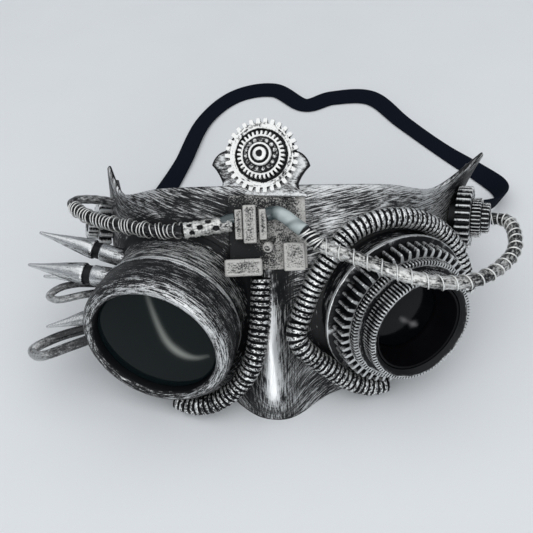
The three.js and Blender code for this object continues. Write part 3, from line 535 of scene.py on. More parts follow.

# goggles: foot on the axis, tube radius, face station and stretch to seat on, eye hole and its ends, and room
# (from, to, radius) that hoses and hooks keep clear of; profile rows are radius, height and wear and light
# level
leftGoggle = {
    "foot": (-44.2, 11.9, 37.1), "axis": (-0.29, -0.94, 0.18), "tube": 28.2, "flare": 2.4,
    "station": 3.3, "near": (1.2, 5.0), "eyeHole": 23.1, "holeEnds": (-75, -10),
    "room": ((-60, -16.2, 28.2), (-16.2, 0, 30.6)),
    "tubeFront": [
        (24.6, -16.3, 0.0), (27.4, -16.3, 0.1), (28.1, -16.6, 0.5), (28.7, -17.1, 0.9), (28.75, -17.6, 0.9),
        (28.3, -18.1, 0.1), (28.2, -18.8, 0.25),
    ],
    "bezel": [
        (24.4, -16.0, 0.1), (28.7, -16.0, 0.15), (29.6, -15.7, 0.4), (30.15, -15.0, 0.8), (30.2, -14.4, 0.75),
        (29.85, -13.8, 0.1), (29.9, -13.0, 0.2), (30.2, -11.0, 0.22), (30.45, -8.5, 0.22), (30.6, -6.0, 0.24),
        (30.6, -4.4, 0.24), (30.55, -2.4, 0.26), (30.3, -0.8, 0.32), (29.8, 0.5, 0.38), (29.1, 1.5, 0.48),
        (28.2, 2.3, 0.58), (27.3, 2.7, 0.62), (26.4, 2.7, 0.58), (25.7, 2.3, 0.5), (25.2, 1.6, 0.4),
        (25.0, 0.7, 0.1), (24.9, -0.6, -0.3), (24.9, -2.2, -0.4), (24.9, -8.4, -0.4), (24.3, -8.6, -0.4),
    ],
    "lensBack": -3.4, "lensFront": -1.6, "lensDome": 0.9, "lensRadius": 24.6,
    # streak: painted reflection on the lens, rows of across, up and brightness
    "streak": [(-2.0, 23.2, 0.3), (-1.6, 21.2, 0.4), (0.3, 13.9, 0.6), (2.6, 6.7, 0.75), (5.1, 1.3, 0.9),
               (8.4, -2.3, 1.0), (12.0, -4.1, 0.9), (16.4, -4.2, 0.6), (21.0, -2.2, 0.25)],
    # rim: painted highlight, the bezel rim lighter on its upper right side
    "streakWidth": (0.7, 1.2), "rimHighlight": 0.12, "rimHighlightAt": 0.9,
}
rightGoggle = {
    "foot": (51.8, 27.6, 32.4), "axis": (0.4, -0.87, 0.28), "tube": 28.5, "flare": 1.5,
    "station": 6.9, "near": (5.0, 9.0), "eyeHole": 20.5, "holeEnds": (-60, 0),
    "room": ((-56, 0, 28.5), (0, 8, 30.0)),
    "tubeFront": [
        (24.0, 0.0, 0.0), (31.6, 0.0, 0.25), (32.0, -0.3, 0.95), (32.0, -1.4, 0.95), (31.6, -1.8, 0.5),
        (28.9, -1.9, 0.0), (28.6, -2.4, 0.15),
    ],
    "liner": [
        (14.3, 0.5), (18.9, 0.5), (18.9, 15.2), (18.7, 15.4), (18.3, 15.4), (18.0, 15.2), (17.3, 12.0),
        (16.4, 8.0), (15.7, 5.6), (15.5, 5.2), (15.5, 2.4), (14.3, 2.4),
    ],
    "lensBack": 2.7, "lensFront": 4.2, "lensDome": 1.0, "lensRadius": 15.1,
    # streak: painted reflection on the lens, rows of across, up and brightness
    "streak": [(-2.6, 0.4, 0.0), (-0.6, -2.4, 0.5), (1.6, -4.4, 0.25), (4.0, -6.8, 0.7), (6.6, -9.2, 0.0)],
    "streakWidth": (0.8, 1.0),
}


# table read between its rows with an eased share
def easedTable(at, places, values):
    places, values = np.asarray(places, float), np.asarray(values, float)
    high = np.clip(np.searchsorted(places, at), 1, len(places) - 1)
    share = np.clip((at - places[high - 1]) / (places[high] - places[high - 1]), 0, 1)
    return values[high - 1] + (values[high] - values[high - 1]) * share * share * (3 - 2 * share)


def rimPoints(u):
    return tableCurve(stations[:, 0:3], u), tableCurve(stations[:, 3:6], u)


def faceOutward(u):
    (lowA, topA), (lowB, topB), (low, top) = rimPoints(u + 0.05), rimPoints(u - 0.05), rimPoints(u)
    return unit(np.cross(lowA + topA - lowB - topB, top - low))


# straight line from low rim to brow, plus nose ridge, swell and horns: each horn is a power of its flank
def facePoint(u, v):
    low, top = rimPoints(u)
    rise, outward = top - low, faceOutward(u)
    share, lift, flare = np.zeros_like(u), np.zeros_like(u), np.zeros_like(u)
    for station, before, after, hollow, hornRise, hornFlare in shellSet["horns"]:
        reach = np.where(u < station, before, after)
        own = np.maximum(0, 1 - np.abs(u - station) / reach) ** hollow
        share, lift, flare = (np.where(own > share, a, b)
                              for a, b in ((own, share), (hornRise, lift), (hornFlare, flare)))
    point = low + rise * v[..., None]
    width = easedTable(v, shellSet["noseUp"], shellSet["noseWidth"])
    blunt = easedTable(v, shellSet["noseUp"], shellSet["noseBlunt"])
    nose = np.exp(-np.abs(point[..., 0] / width) ** blunt)
    nose = nose * easedTable(v, shellSet["noseUp"], shellSet["noseHeight"])
    swell = tableCurve(stations[:, 6], u) * np.sin(math.pi * np.maximum(v, 0) ** 1.2)
    nearTop = np.maximum(0, (v - 0.72) / 0.28) ** 2
    point[..., 1] -= nose
    point = point + outward * (swell + flare * share * nearTop)[..., None]
    return point + unit(rise) * (lift * share * nearTop)[..., None]


# face point moved along its own normal, the normal taken from two small steps on the face
def shellPoint(u, v, outset):
    u, v, outset = (np.asarray(a, float) for a in np.broadcast_arrays(u, v, outset))
    last, step = len(stations) - 1, 0.02
    uIn, vIn = np.clip(u, 0, last), np.clip(v, 0, 1)
    across = facePoint(np.minimum(uIn + step, last), v) - facePoint(np.maximum(uIn - step, 0), v)
    rise = facePoint(u, np.minimum(vIn + step, 1)) - facePoint(u, np.maximum(vIn - step, 0))
    return facePoint(u, v) + unit(np.cross(across, rise)) * outset[..., None]


def axisDistance(points, foot, axis):
    away = points - np.asarray(foot, float)
    along = (away * unit(axis)).sum(-1, keepdims=True) * unit(axis)
    return np.linalg.norm(away - along, axis=-1)


def cutAway(piece, cutters):
    for cutter in cutters:
        modifier = piece.modifiers.new(cutter.name, "BOOLEAN")
        modifier.object, modifier.solver, modifier.operation = cutter, "EXACT", "DIFFERENCE"
    whole = piece.evaluated_get(bpy.context.evaluated_depsgraph_get())
    cut = bpy.data.meshes.new_from_object(whole)
    piece.modifiers.clear()
    old, piece.data = piece.data, cut
    bpy.data.meshes.remove(old)
    for cutter in cutters:
        bpy.data.objects.remove(cutter)
    cut.set_sharp_from_angle(angle=math.radians(40))


# how high each point of the face stands in paint and painted light: the ridge's painted highlight with some
# wear, the lighter right brow and the worn edges up; the painted shade on the nose flanks and right horn, the
# seats (unbrushed recess with painted shade), the lower right cheek and the inside down
def faceWearAndLight(points, run, uu, vv, outset, seat):
    toneBias = lambda key: np.interp(vv, shellSet["ridgeUp"], shellSet[key])
    # ridge: painted highlight down the nose, with some wear; flank: painted shade either side of it
    ridge = np.exp(-((points[..., 0] - shellSet["ridgeAt"]) / shellSet["ridgeWide"]) ** 2) * toneBias("ridgeWearAndHighlight")
    flank = np.exp(-(run / shellSet["flankWide"]) ** 2) * (1 - ridge) * toneBias("flankShade")
    # brow: painted light, lighter on the right side and darker on the left
    brow = np.clip((vv - 0.66) * 6, 0, 1) * np.interp(run, shellSet["browAt"], shellSet["browLightSide"])
    wearAndLight = 0.5 + shellSet["ridgePaint"] * ridge - flank + brow
    (edge, edgeWide), (foot, footWide) = shellSet["edgePaint"], shellSet["footPaint"]
    wearAndLight = wearAndLight + edge * np.exp(-((1 - vv) / edgeWide) ** 2) + foot * np.exp(-(vv / footWide) ** 2)
    # horn: painted shade on the right horn; cheek: darker low on the right cheek; seat: painted shade and the
    # unbrushed recess round the goggles
    horn = np.clip((uu - 8.5) * 2, 0, 1) * np.clip((vv - 0.72) * 6, 0, 1)
    cheek = np.clip((run - 10) / 14, 0, 1) * np.clip((0.45 - vv) * 5, 0, 1)
    seatDark, seatWide = shellSet["seatDark"]
    wearAndLight = wearAndLight - shellSet["hornShade"] * horn - seatDark * np.clip(1 - seat / seatWide, 0, 1)
    wearAndLight = wearAndLight - shellSet["cheekDark"] * cheek
    return np.where(outset < -1.2, shellSet["insidePaint"], wearAndLight)


# one closed loop of (height, outset) pairs per station: out and up the front, over the edge, down the back
def makeShell():
    counts, last = shellSet["columns"], len(stations) - 1
    inner = np.concatenate([np.linspace(0, 4, counts[0], endpoint=False),
                            np.linspace(4, 6, counts[1], endpoint=False), np.linspace(6, last, counts[2])])
    u = np.concatenate([[-0.022, -0.014], inner, [last + 0.014, last + 0.022]])
    squeeze = np.concatenate([[0.0, 0.7], np.ones(len(inner)), [0.7, 0.0]])
    up, wall = np.linspace(0, 1, shellSet["rows"]), shellSet["wall"]
    edge = np.array(shellSet["edge"])
    v = np.concatenate([up, 1 + edge[:, 0], up[::-1], -edge[:, 0]])
    outset = -np.concatenate([0 * up, edge[:, 1], 0 * up + wall, edge[::-1, 1]])
    outset = -wall / 2 + (outset[None, :] + wall / 2) * squeeze[:, None]
    uu, vv = np.meshgrid(u, v, indexing="ij")
    points = shellPoint(uu, vv, outset)
    middle = shellPoint(u, 0.6, 0.0)
    run = runLength(middle)
    run = (run - np.interp(0, middle[:, 0], run))[:, None]
    climb = vv * shellSet["tall"]
    left, right = shellSet["strokeTilt"]
    tilt = np.radians(np.where(run > 0, right, left))
    s, t = run * np.cos(tilt) + climb * np.sin(tilt), climb * np.cos(tilt) - run * np.sin(tilt)
    k = shellSet["strokeStretch"]
    paint = np.stack([s * k, t, 0 * s], -1)
    crossPaint = np.stack([run + 0 * vv, climb * k, 0 * s], -1)
    crossShare = np.exp(-(run / shellSet["noseStrokes"]) ** 4) * np.clip((0.8 - vv) * 8, 0, 1)
    seat = np.full(vv.shape, 50.0)
    for goggle in (leftGoggle, rightGoggle):
        across, upward, _ = planeAxes(goggle["axis"])
        away = points - np.asarray(goggle["foot"], float)
        gap = axisDistance(points, goggle["foot"], goggle["axis"]) - goggle["tube"]
        angle, wide = np.arctan2(away @ upward, away @ across), shellSet["ringStroke"]
        ring = np.stack([wide * np.cos(angle), wide * np.sin(angle), gap], -1)
        share = np.clip(1.6 - gap / 7, 0, 1)
        crossPaint = np.where((share > crossShare)[..., None], ring, crossPaint)
        crossShare = np.maximum(crossShare, share)
        seat = np.minimum(seat, gap)
    wearAndLight = faceWearAndLight(points, run, uu, vv, outset, seat)
    faces = gridFaces(len(u), len(v), False, True)
    piece = makePiece("maskFace", points, faces, paints["shellPaint"], wearAndLight, paint, 40,
                      (crossPaint, crossShare))
    cutters = []
    for name, goggle in (("leftBore", leftGoggle), ("rightBore", rightGoggle)):
        radius, (low, top) = goggle["eyeHole"], goggle["holeEnds"]
        rows = [(0, low), (radius, low), (radius, top), (0, top)]
        grid = turnedGrid(rows, goggle["foot"], goggle["axis"], 72)
        cutters.append(pieceOf(name, [grid], paints["shellPaint"]))
    slab = np.array([(x, y, z) for x in (-200, 200) for y in (-140, 260) for z in (-40, 0)], float)
    sides = np.array([(0, 1, 3, 2), (4, 6, 7, 5), (0, 4, 5, 1), (2, 3, 7, 6), (0, 2, 6, 4), (1, 5, 7, 3)])
    cutters.append(makePiece("underTable", slab, sides, paints["shellPaint"]))
    cutAway(piece, cutters)
    return settle(piece, "brushed_plastic", "mask_shell")


makeShell()
print("face shaped")


# height on the axis where a goggle's tube meets the face, all round it: highest face point in each bin of
# angle, never behind a plane just inside the face, then a mean of five bins
def seatOn(goggle, turn, bins=180):
    foot, radius = np.asarray(goggle["foot"], float), goggle["tube"]
    across, upward, outward = planeAxes(goggle["axis"])
    u, v = np.meshgrid(np.linspace(*goggle["near"], 560), np.linspace(0, 1, 260), indexing="ij")
    away = shellPoint(u, v, 0.0).reshape(-1, 3) - foot
    a, b, h = away @ across, away @ upward, away @ outward
    near = np.abs(np.hypot(a, b) - radius) < 0.6
    slot = (np.arctan2(b[near], a[near]) / (2 * math.pi) * bins).astype(int) % bins
    top = np.full(bins, -1e3)
    np.maximum.at(top, slot, h[near])
    behind, facing = shellPoint(goggle["station"], 0.5, -9.0), faceOutward(np.array(goggle["station"]))
    angles = (np.arange(bins) + 0.5) / bins * 2 * math.pi
    limit = ((behind - foot - radius * spokes(angles, across, upward)) @ facing) / (outward @ facing)
    top = np.maximum(top, limit)
    soft = np.stack([np.roll(top, k) for k in (-2, -1, 0, 1, 2)]).mean(0)
    return np.interp(turn, angles, soft, period=2 * math.pi)


# tube standing on the face: outer rows run from the front profile to the seat, then back up the bore
def seatedTube(name, goggle, material):
    turn, front, radius = ringTurn(144), goggle["tubeFront"], goggle["tube"]
    bore, boreFront, _ = front[0]
    across, upward, outward = planeAxes(goggle["axis"])
    seat = seatOn(goggle, turn) - 0.7
    share = np.linspace(0, 1, 22)[1:, None]
    outerH = [np.maximum(h, seat) for _, h, _ in front]
    start = np.maximum(front[-1][1], seat)
    bodyH = start + (seat - start) * share
    flare = goggle["flare"] * np.exp(-np.maximum(bodyH - seat, 0) / 2.2)
    high = 0.52 - 0.6 * np.exp(-np.maximum(bodyH - seat, 0) / 3.0)
    boreH = seat + (np.maximum(boreFront, seat) - seat) * np.linspace(0, 1, 8)[:, None]
    everyTurn = lambda column: np.repeat([[row[column]] for row in front], len(turn), 1)
    radii = np.concatenate([everyTurn(0), radius + flare, np.full(boreH.shape, bore)])
    heights = np.concatenate([np.array(outerH), bodyH, boreH])
    wearAndLight = np.concatenate([everyTurn(2), high, np.full(boreH.shape, -0.8)])
    points = np.asarray(goggle["foot"], float) + radii[..., None] * spokes(turn, across, upward)
    points = points + heights[..., None] * outward
    paint = np.stack(np.broadcast_arrays(2.4 * np.cos(turn)[None], 2.4 * np.sin(turn)[None], heights), -1)
    faces = gridFaces(len(radii), len(turn), True, True)
    return makePiece(name, points, faces, material, wearAndLight, paint, 42)


# domed disc: height falls with the square of the radius; the painted reflection, a streak, lies along its
# rows of across, up and brightness, wider where it is brighter
def lensGrid(goggle):
    foot, wide, front = goggle["foot"], goggle["lensRadius"], goggle["lensFront"]
    steps = np.linspace(wide - 0.5, 0, 40)
    dome = front + 0.2 + goggle["lensDome"] * (1 - (steps / wide) ** 2)
    rows = [(0, goggle["lensBack"], 0), (wide, goggle["lensBack"], 0), (wide, front, 0)]
    grid = turnedGrid(rows + [(r, h, 0) for r, h in zip(steps, dome)], foot, goggle["axis"], 160)
    across, upward, _ = planeAxes(goggle["axis"])
    flat = np.stack([(grid["points"] - foot) @ across, (grid["points"] - foot) @ upward], -1)
    line, _ = routeCurve(goggle["streak"], 120)
    away = np.linalg.norm(flat[..., None, :] - line[:, :2], axis=-1)
    bright, (narrow, widen) = line[away.argmin(-1), 2], goggle["streakWidth"]
    streak = np.exp(-(away.min(-1) / (narrow + widen * bright ** 2)) ** 2) * bright
    grid["wearAndLight"] = np.where(np.arange(len(streak))[:, None] > 2, streak, 0)
    return grid


def makeLeftGoggle():
    settle(seatedTube("leftBarrel", leftGoggle, paints["barrelPaint"]), "brushed_plastic", "left_barrel")
    ring = turnedGrid(leftGoggle["bezel"], leftGoggle["foot"], leftGoggle["axis"], 180, brush=0.08)
    # painted highlight: the bezel rim lighter on its upper right side, darker opposite
    toneBias = leftGoggle["rimHighlight"] * np.cos(ringTurn(180) - leftGoggle["rimHighlightAt"])
    ring["wearAndLight"] = ring["wearAndLight"] + toneBias
    addPiece("leftBezel", [ring], "bezelPaint", 50, "silver_plastic", "left_bezel")
    addPiece("leftLens", [lensGrid(leftGoggle)], "lensSmoke", 30, "dark_lens", "left_lens")


makeLeftGoggle()
print("left goggle turned")

# tooth tables: share of the turn from one tooth to the next, and lift from root to tip
thinTooth = [(0.0, 0.0), (0.34, 0.0), (0.46, 0.2), (0.56, 0.94), (0.61, 1.0), (0.75, 1.0), (0.80, 0.94),
             (0.92, 0.2)]
toothTable = [(0.0, 0.0), (0.2, 0.0), (0.27, 0.12), (0.37, 0.9), (0.43, 1.0), (0.77, 1.0), (0.83, 0.9),
              (0.93, 0.12)]
fineTooth = [(0.0, 0.0), (0.16, 0.0), (0.34, 1.0), (0.66, 1.0), (0.84, 0.0)]
rightStack = {
    "coarseRing": {"node": "right_gear_coarse", "teeth": 50, "table": thinTooth, "tip": 30.0, "root": 26.9,
                   "from": 0.3, "to": 7.8, "bore": 19.2, "sink": 0.0},
    "fineRing": {"node": "right_gear_fine", "teeth": 112, "table": fineTooth, "tip": 26.3, "root": 25.0,
                 "from": 8.1, "to": 10.8, "bore": 19.2, "sink": 0.0},
    "ribbedRing": {"node": "right_gear_ribbed", "teeth": 98, "table": fineTooth, "tip": 22.7, "root": 21.6,
                   "from": 11.1, "to": 17.6, "bore": 19.2, "sink": 1.6},
}


# ring gear section: bore, lower face, toothed outside with small bevels, upper face
def ringRows(spec, edge=0.35):
    tip, root, low, top, bore = spec["tip"], spec["root"], spec["from"], spec["to"], spec["bore"]
    return [
        (bore, low, 0.0), (root - 0.6, low, 0.1), (tip - edge, low, 0.5, 1.0), (tip, low + edge, 0.75, 1.0),
        (tip, (low + top) / 2, 0.55, 1.0), (tip, top - edge, 0.75, 1.0), (tip - edge, top, 1.0, 0.94),
        (root - 0.3, top, 0.7), (root - 0.7, top, 0.55), (root - 1.2, top - spec["sink"] * 0.2, 0.4),
        (bore + 0.4, top - spec["sink"], 0.4 - spec["sink"] * 0.15), (bore, top - spec["sink"] - 0.4, 0.0),
    ]


def makeRightGoggle():
    foot, axis = rightGoggle["foot"], rightGoggle["axis"]
    settle(seatedTube("rightCup", rightGoggle, paints["cupPaint"]), "black_plastic", "right_cup")
    for name, row in rightStack.items():
        grid = turnedGrid(ringRows(row), foot, axis, teeth=row["teeth"], depth=row["tip"] - row["root"],
                          table=row["table"])
        addPiece(name, [grid], "gearPaint", 30, "silver_plastic", row["node"])
    grid = turnedGrid(rightGoggle["liner"], foot, axis, 120)
    addPiece("rightLiner", [grid], "tubeBlack", 40, "black_plastic", "right_liner")
    addPiece("rightLens", [lensGrid(rightGoggle)], "lensDeep", 30, "dark_lens", "right_lens")


makeRightGoggle()
print("right goggle turned")


# face as a search tree, so that lines can be asked how far they stand off it
def makeFaceTree():
    u, v = np.meshgrid(np.linspace(0, 10, 160), np.linspace(0, 1, 50), indexing="ij")
    points = shellPoint(u, v, 0.0).reshape(-1, 3)
    return BVHTree.FromPolygons(points.tolist(), gridFaces(160, 50).tolist())


faceTree = makeFaceTree()


def faceStandOff(line):
    found = [faceTree.find_nearest(point) for point in line.tolist()]
    near, normal = np.array([f[0] for f in found]), np.array([f[1] for f in found])
    return ((line - near) * normal).sum(1)


# how far each point of a line stands off the face and both goggles, negative inside them
def clearance(line):
    gaps = [faceStandOff(line)]
    for goggle in (leftGoggle, rightGoggle):
        height = (line - np.asarray(goggle["foot"], float)) @ unit(goggle["axis"])
        wide = axisDistance(line, goggle["foot"], goggle["axis"])
        for low, high, radius in goggle["room"]:
            gaps.append(np.where((height > low) & (height < high), wide - radius, 50.0))
    return np.min(gaps, axis=0)


# longest stretch of a line that keeps out of the face and the goggles by more than the given margin
def openStretch(line, margin):
    free = np.concatenate([[0], (clearance(line) > margin).astype(int), [0]])
    starts, stops = np.flatnonzero(np.diff(free) == 1), np.flatnonzero(np.diff(free) == -1)
    best = np.argmax(stops - starts)
    return starts[best], stops[best]


# outline carried through rows of (inset, height, wear and light level), the first and last rows closing on
# the middle
def plateGrid(outlineAt, rows, centre, facing, middle=(0.0, 0.0), brush=(0.35, 1.0)):
    across, upward, outward = planeAxes(facing)
    rings = [outlineAt(inset) for inset, _, _ in rows]
    shut = np.repeat(np.array([middle], float), len(rings[0]), 0)
    flat = np.stack([shut] + rings + [shut])
    rows = np.array([rows[0]] + list(rows) + [rows[-1]], float)
    points = (np.asarray(centre, float) + flat[..., :1] * across + flat[..., 1:] * upward
              + rows[:, 1][:, None, None] * outward)
    wearAndLight = np.repeat(rows[:, 2][:, None], flat.shape[1], 1)
    tall = np.broadcast_to(rows[:, 1][:, None], flat.shape[:2])
    paint = np.stack([flat[..., 0] * brush[0], flat[..., 1] * brush[1], tall], -1)
    return {"points": points, "faces": gridFaces(flat.shape[0], flat.shape[1], False, True),
            "wearAndLight": wearAndLight, "paint": paint}


# rounded rectangle: a corner arc per quarter, joined by the straight sides with extra points on them
def roundedRectangle(width, height, corner, steps=5):
    def outlineAt(inset):
        w, h = width / 2 - inset, height / 2 - inset
        c = max(corner - inset, 0.05)
        turn = np.linspace(0, math.pi / 2, steps)
        quarter = np.stack([w - c + c * np.cos(turn), h - c + c * np.sin(turn)], 1)
        flip = lambda sx, sy, back: (quarter[::-1] if back else quarter) * (sx, sy)
        ring = np.vstack([flip(1, 1, False), flip(-1, 1, True), flip(-1, -1, False), flip(1, -1, True)])
        nextOne = np.roll(ring, -1, 0)
        share = np.linspace(0, 1, 6, endpoint=False)[None, :, None]
        return (ring[:, None] + (nextOne - ring)[:, None] * share).reshape(-1, 2)
    return outlineAt


# crest: outline rows are end across, up and the pull of the curve that leads there; plate rows are inset,
# height and wear and light level; gear and hub rows are radius, height, wear and light level and share of the
# tooth
crestSet = {
    "centre": (0.3, 64.8, 83.4), "facing": (-0.16, -0.66, 0.735), "middle": (0, -4),
    "half": [(0, 11.8, 0, 11.8), (14.0, 2.0, 11, 11), (19.3, -3.6, 17.9, 1.0), (14.9, -10.4, 16.4, -6.4),
             (18.4, -14.2, 14.8, -13.6), (18.4, -15.6, 18.4, -14.8)],
    "plate": [(9.0, -0.3, 0.5), (6.0, -0.3, 0.5), (3.0, -0.3, 0.45), (1.4, -0.3, 0.55), (0.7, -0.32, 0.3),
              (0.3, -0.45, -0.2), (0.0, -0.8, 0.0), (0.0, -2.4, -0.2), (0.4, -2.7, -0.2), (9.0, -2.7, -0.8)],
    "turn": 0.11, "shift": -0.8, "brush": (0.35, 1.0), "footPaint": 0.8, "footAt": 11.0,
    "paleAt": (-19, -14, 11, 16), "pale": (0.16, -0.05, 0.1, 0.36),
    "gears": {
        "crestGear": {"node": "crest_gear", "teeth": 30, "depth": 1.85, "table": toothTable, "rows": [
            (0, 0), (12.0, 0, 0.2), (14.2, 0, 0.5, 1), (14.5, 0.3, 0.8, 1), (14.5, 2.1, 0.9, 1),
            (14.2, 2.4, 1.0, 0.95), (12.3, 2.4, 0.53), (10.5, 2.4, 0.55), (10.2, 2.2, 0.2),
            (10.05, 1.0, -0.6), (9, 0.9, -0.8), (0, 0.9, -0.8)]},
        "crestFineGear": {"node": "crest_gear_fine", "teeth": 32, "depth": 1.3, "table": fineTooth, "rows": [
            (0, 1.3), (7.8, 1.3, 0.1), (9.0, 1.3, 0.4, 1), (9.2, 1.6, 0.7, 1), (9.2, 4.05, 0.9, 1),
            (9.0, 4.3, 0.95, 0.95), (7.7, 4.3, 0.6), (7.2, 4.3, 0.65), (6.9, 4.1, 0.2), (6.8, 3.5, -0.6),
            (0, 3.5, -0.6)]},
    },
    "hub": [(0, 3.4), (6.7, 3.4, 0.0), (6.7, 4.6, 0.1), (6.4, 4.9, 0.25), (4.7, 5.0, -0.1), (4.45, 5.3, 0.3),
            (4.4, 6.9, 0.8), (4.15, 7.2, 0.95), (3.7, 7.2, 0.9), (3.5, 6.9, 0.1), (3.4, 6.2, -0.8),
            (2.75, 6.2, -0.8), (2.7, 7.1, 0.2), (2.45, 7.7, 0.9), (1.6, 8.1, 0.9), (1.15, 8.15, 0.2),
            (0.95, 7.9, -0.6), (0, 7.9, -0.6)],
    "beads": 15, "beadRing": 5.55, "beadRise": 5.0, "bead": 0.8, "beadPaint": 0.42,
}


def crestOutline():
    half = np.array(crestSet["half"], float)
    t = np.linspace(0, 1, 12, endpoint=False)[None, :, None]
    a, b, pull = half[:-1, None, :2], half[1:, None, :2], half[1:, None, 2:]
    right = ((1 - t) ** 2 * a + 2 * t * (1 - t) * pull + t ** 2 * b).reshape(-1, 2)
    right = np.vstack([right, half[-1, :2]])
    left = right[:0:-1] * (-1, 1)
    floor = np.linspace(right[-1], left[0], 14)[1:-1]
    ring = np.vstack([right, floor, left])
    side = np.roll(ring, -1, 0) - np.roll(ring, 1, 0)
    inward = unit(np.stack([side[:, 1], -side[:, 0]], 1))
    across, up = math.cos(crestSet["turn"]), math.sin(crestSet["turn"])
    spin = np.array([(across, up), (-up, across)])

    def outlineAt(inset):
        edge = ring + inward * min(inset, 0.6)
        edge = crestSet["middle"] + (edge - crestSet["middle"]) * (1 - max(inset - 0.6, 0) / 10)
        return edge @ spin + (crestSet["shift"], 0)
    return outlineAt


# small balls at given middles, one grid of rings each
def beadGrid(middles, radius, wearAndLight):
    turn, tilt = ringTurn(12), np.linspace(-math.pi / 2, math.pi / 2, 8)
    level, rise = np.cos(tilt)[:, None], np.sin(tilt)[:, None]
    ball = np.stack(np.broadcast_arrays(level * np.cos(turn), level * np.sin(turn), rise), -1)
    points = np.asarray(middles)[:, None, None] + radius * ball
    faces = gridFaces(len(tilt), len(turn), False, True)
    faces = faces[None] + (np.arange(len(middles)) * len(tilt) * len(turn))[:, None, None]
    points = points.reshape(len(middles) * len(tilt), len(turn), 3)
    return {"points": points, "faces": faces.reshape(-1, 4), "wearAndLight": np.array(wearAndLight),
            "paint": points.copy()}


def makeCrest():
    centre, facing = crestSet["centre"], crestSet["facing"]
    grid = plateGrid(crestOutline(), crestSet["plate"], centre, facing, crestSet["middle"], crestSet["brush"])
    foot = np.clip((-grid["paint"][..., 1] - crestSet["footAt"]) / 2, 0, 1)
    pale = np.interp(grid["paint"][..., 0] / crestSet["brush"][0], crestSet["paleAt"], crestSet["pale"])
    wearAndLight = grid["wearAndLight"] + pale * (grid["wearAndLight"] > 0.35)
    grid["wearAndLight"] = wearAndLight + (crestSet["footPaint"] - wearAndLight) * foot
    addPiece("crestPlate", [grid], "platePaint", 40, "brushed_plastic")
    for name, row in crestSet["gears"].items():
        grid = turnedGrid(row["rows"], centre, facing, teeth=row["teeth"], depth=row["depth"],
                          table=row["table"])
        addPiece(name, [grid], "crestPaint", 30, "silver_plastic", row["node"])
    across, upward, outward = planeAxes(facing)
    ring = crestSet["beadRing"] * spokes(ringTurn(crestSet["beads"]), across, upward)
    beads = beadGrid(np.asarray(centre) + ring + crestSet["beadRise"] * outward, crestSet["bead"],
                     crestSet["beadPaint"])
    grids = [turnedGrid(crestSet["hub"], centre, facing, 72), beads]
    addPiece("crestHub", grids, "crestPaint", 35, "silver_plastic", "crest_hub")


makeCrest()
print("crest built")

# bridge block: blocks are across, up, width, height, depth, corner and edge on the block's plane; shade rows
# are across, up and size of the patches of painted shade beside the blocks and the elbow
bridgeSet = {
    "centre": (1.0, 43.2, 63.4), "facing": (0.0, -0.66, 0.75), "edge": 0.35,
    "blocks": {
        "clampBarLeft": ("clamp_bar_left", -10.95, 3.2, 2.9, 11.5, 4.2, 0.5, 0.45),
        "clampBarMiddle": ("clamp_bar_middle", -6.7, 3.0, 5.0, 14.5, 7.0, 0.6, 0.6),
        "clampBarRight": ("clamp_bar_right", -1.7, 2.8, 3.0, 11.8, 4.6, 0.5, 0.45),
        "crossBar": ("cross_bar", -9.7, -13.4, 14.4, 6.6, 6.4, 0.9, 0.9),
        "squareBlock": ("square_block", 9.8, -10.0, 8.2, 10.8, 5.4, 0.7, 0.6),
    },
    "bolt": (1.9, -3.1, 0.3), "boltLean": (-2.5, -3.6, 6.0),
    "boltRows": [(0, -0.6), (1.2, -0.6, 0.1), (1.2, 4.9, 0.5), (1.8, 5.0, 0.5), (2.0, 5.3, 0.8),
                 (2.0, 6.6, 0.8), (1.8, 7.0, 0.9), (1.5, 7.2, 0.9), (1.2, 7.2, 0.7), (1.0, 6.9, 0.1),
                 (0.6, 6.9, 0.3), (0, 7.1, 0.8)],
    "plateLevel": 0.42, "acrossTilt": 0.35, "upTilt": -0.1, "rimAt": (14.8, 14.4), "rimWorn": 0.5,
    "backDark": 0.6, "shadePatchDark": 0.42,
    "shadePatches": [(-14.2, -4.8, 4.0), (-9.3, -8.4, 4.5), (-4.0, -8.4, 4.0), (8.9, 10.6, 3.5), (13.1, 6.1, 3.5),
              (8.6, -2.6, 3.0), (1.8, 6.6, 3.0), (-14.0, 4.0, 3.0)],
}


def onBridge(across, up, out=0.0):
    side, upward, outward = planeAxes(bridgeSet["facing"])
    return np.asarray(bridgeSet["centre"], float) + across * side + up * upward + out * outward


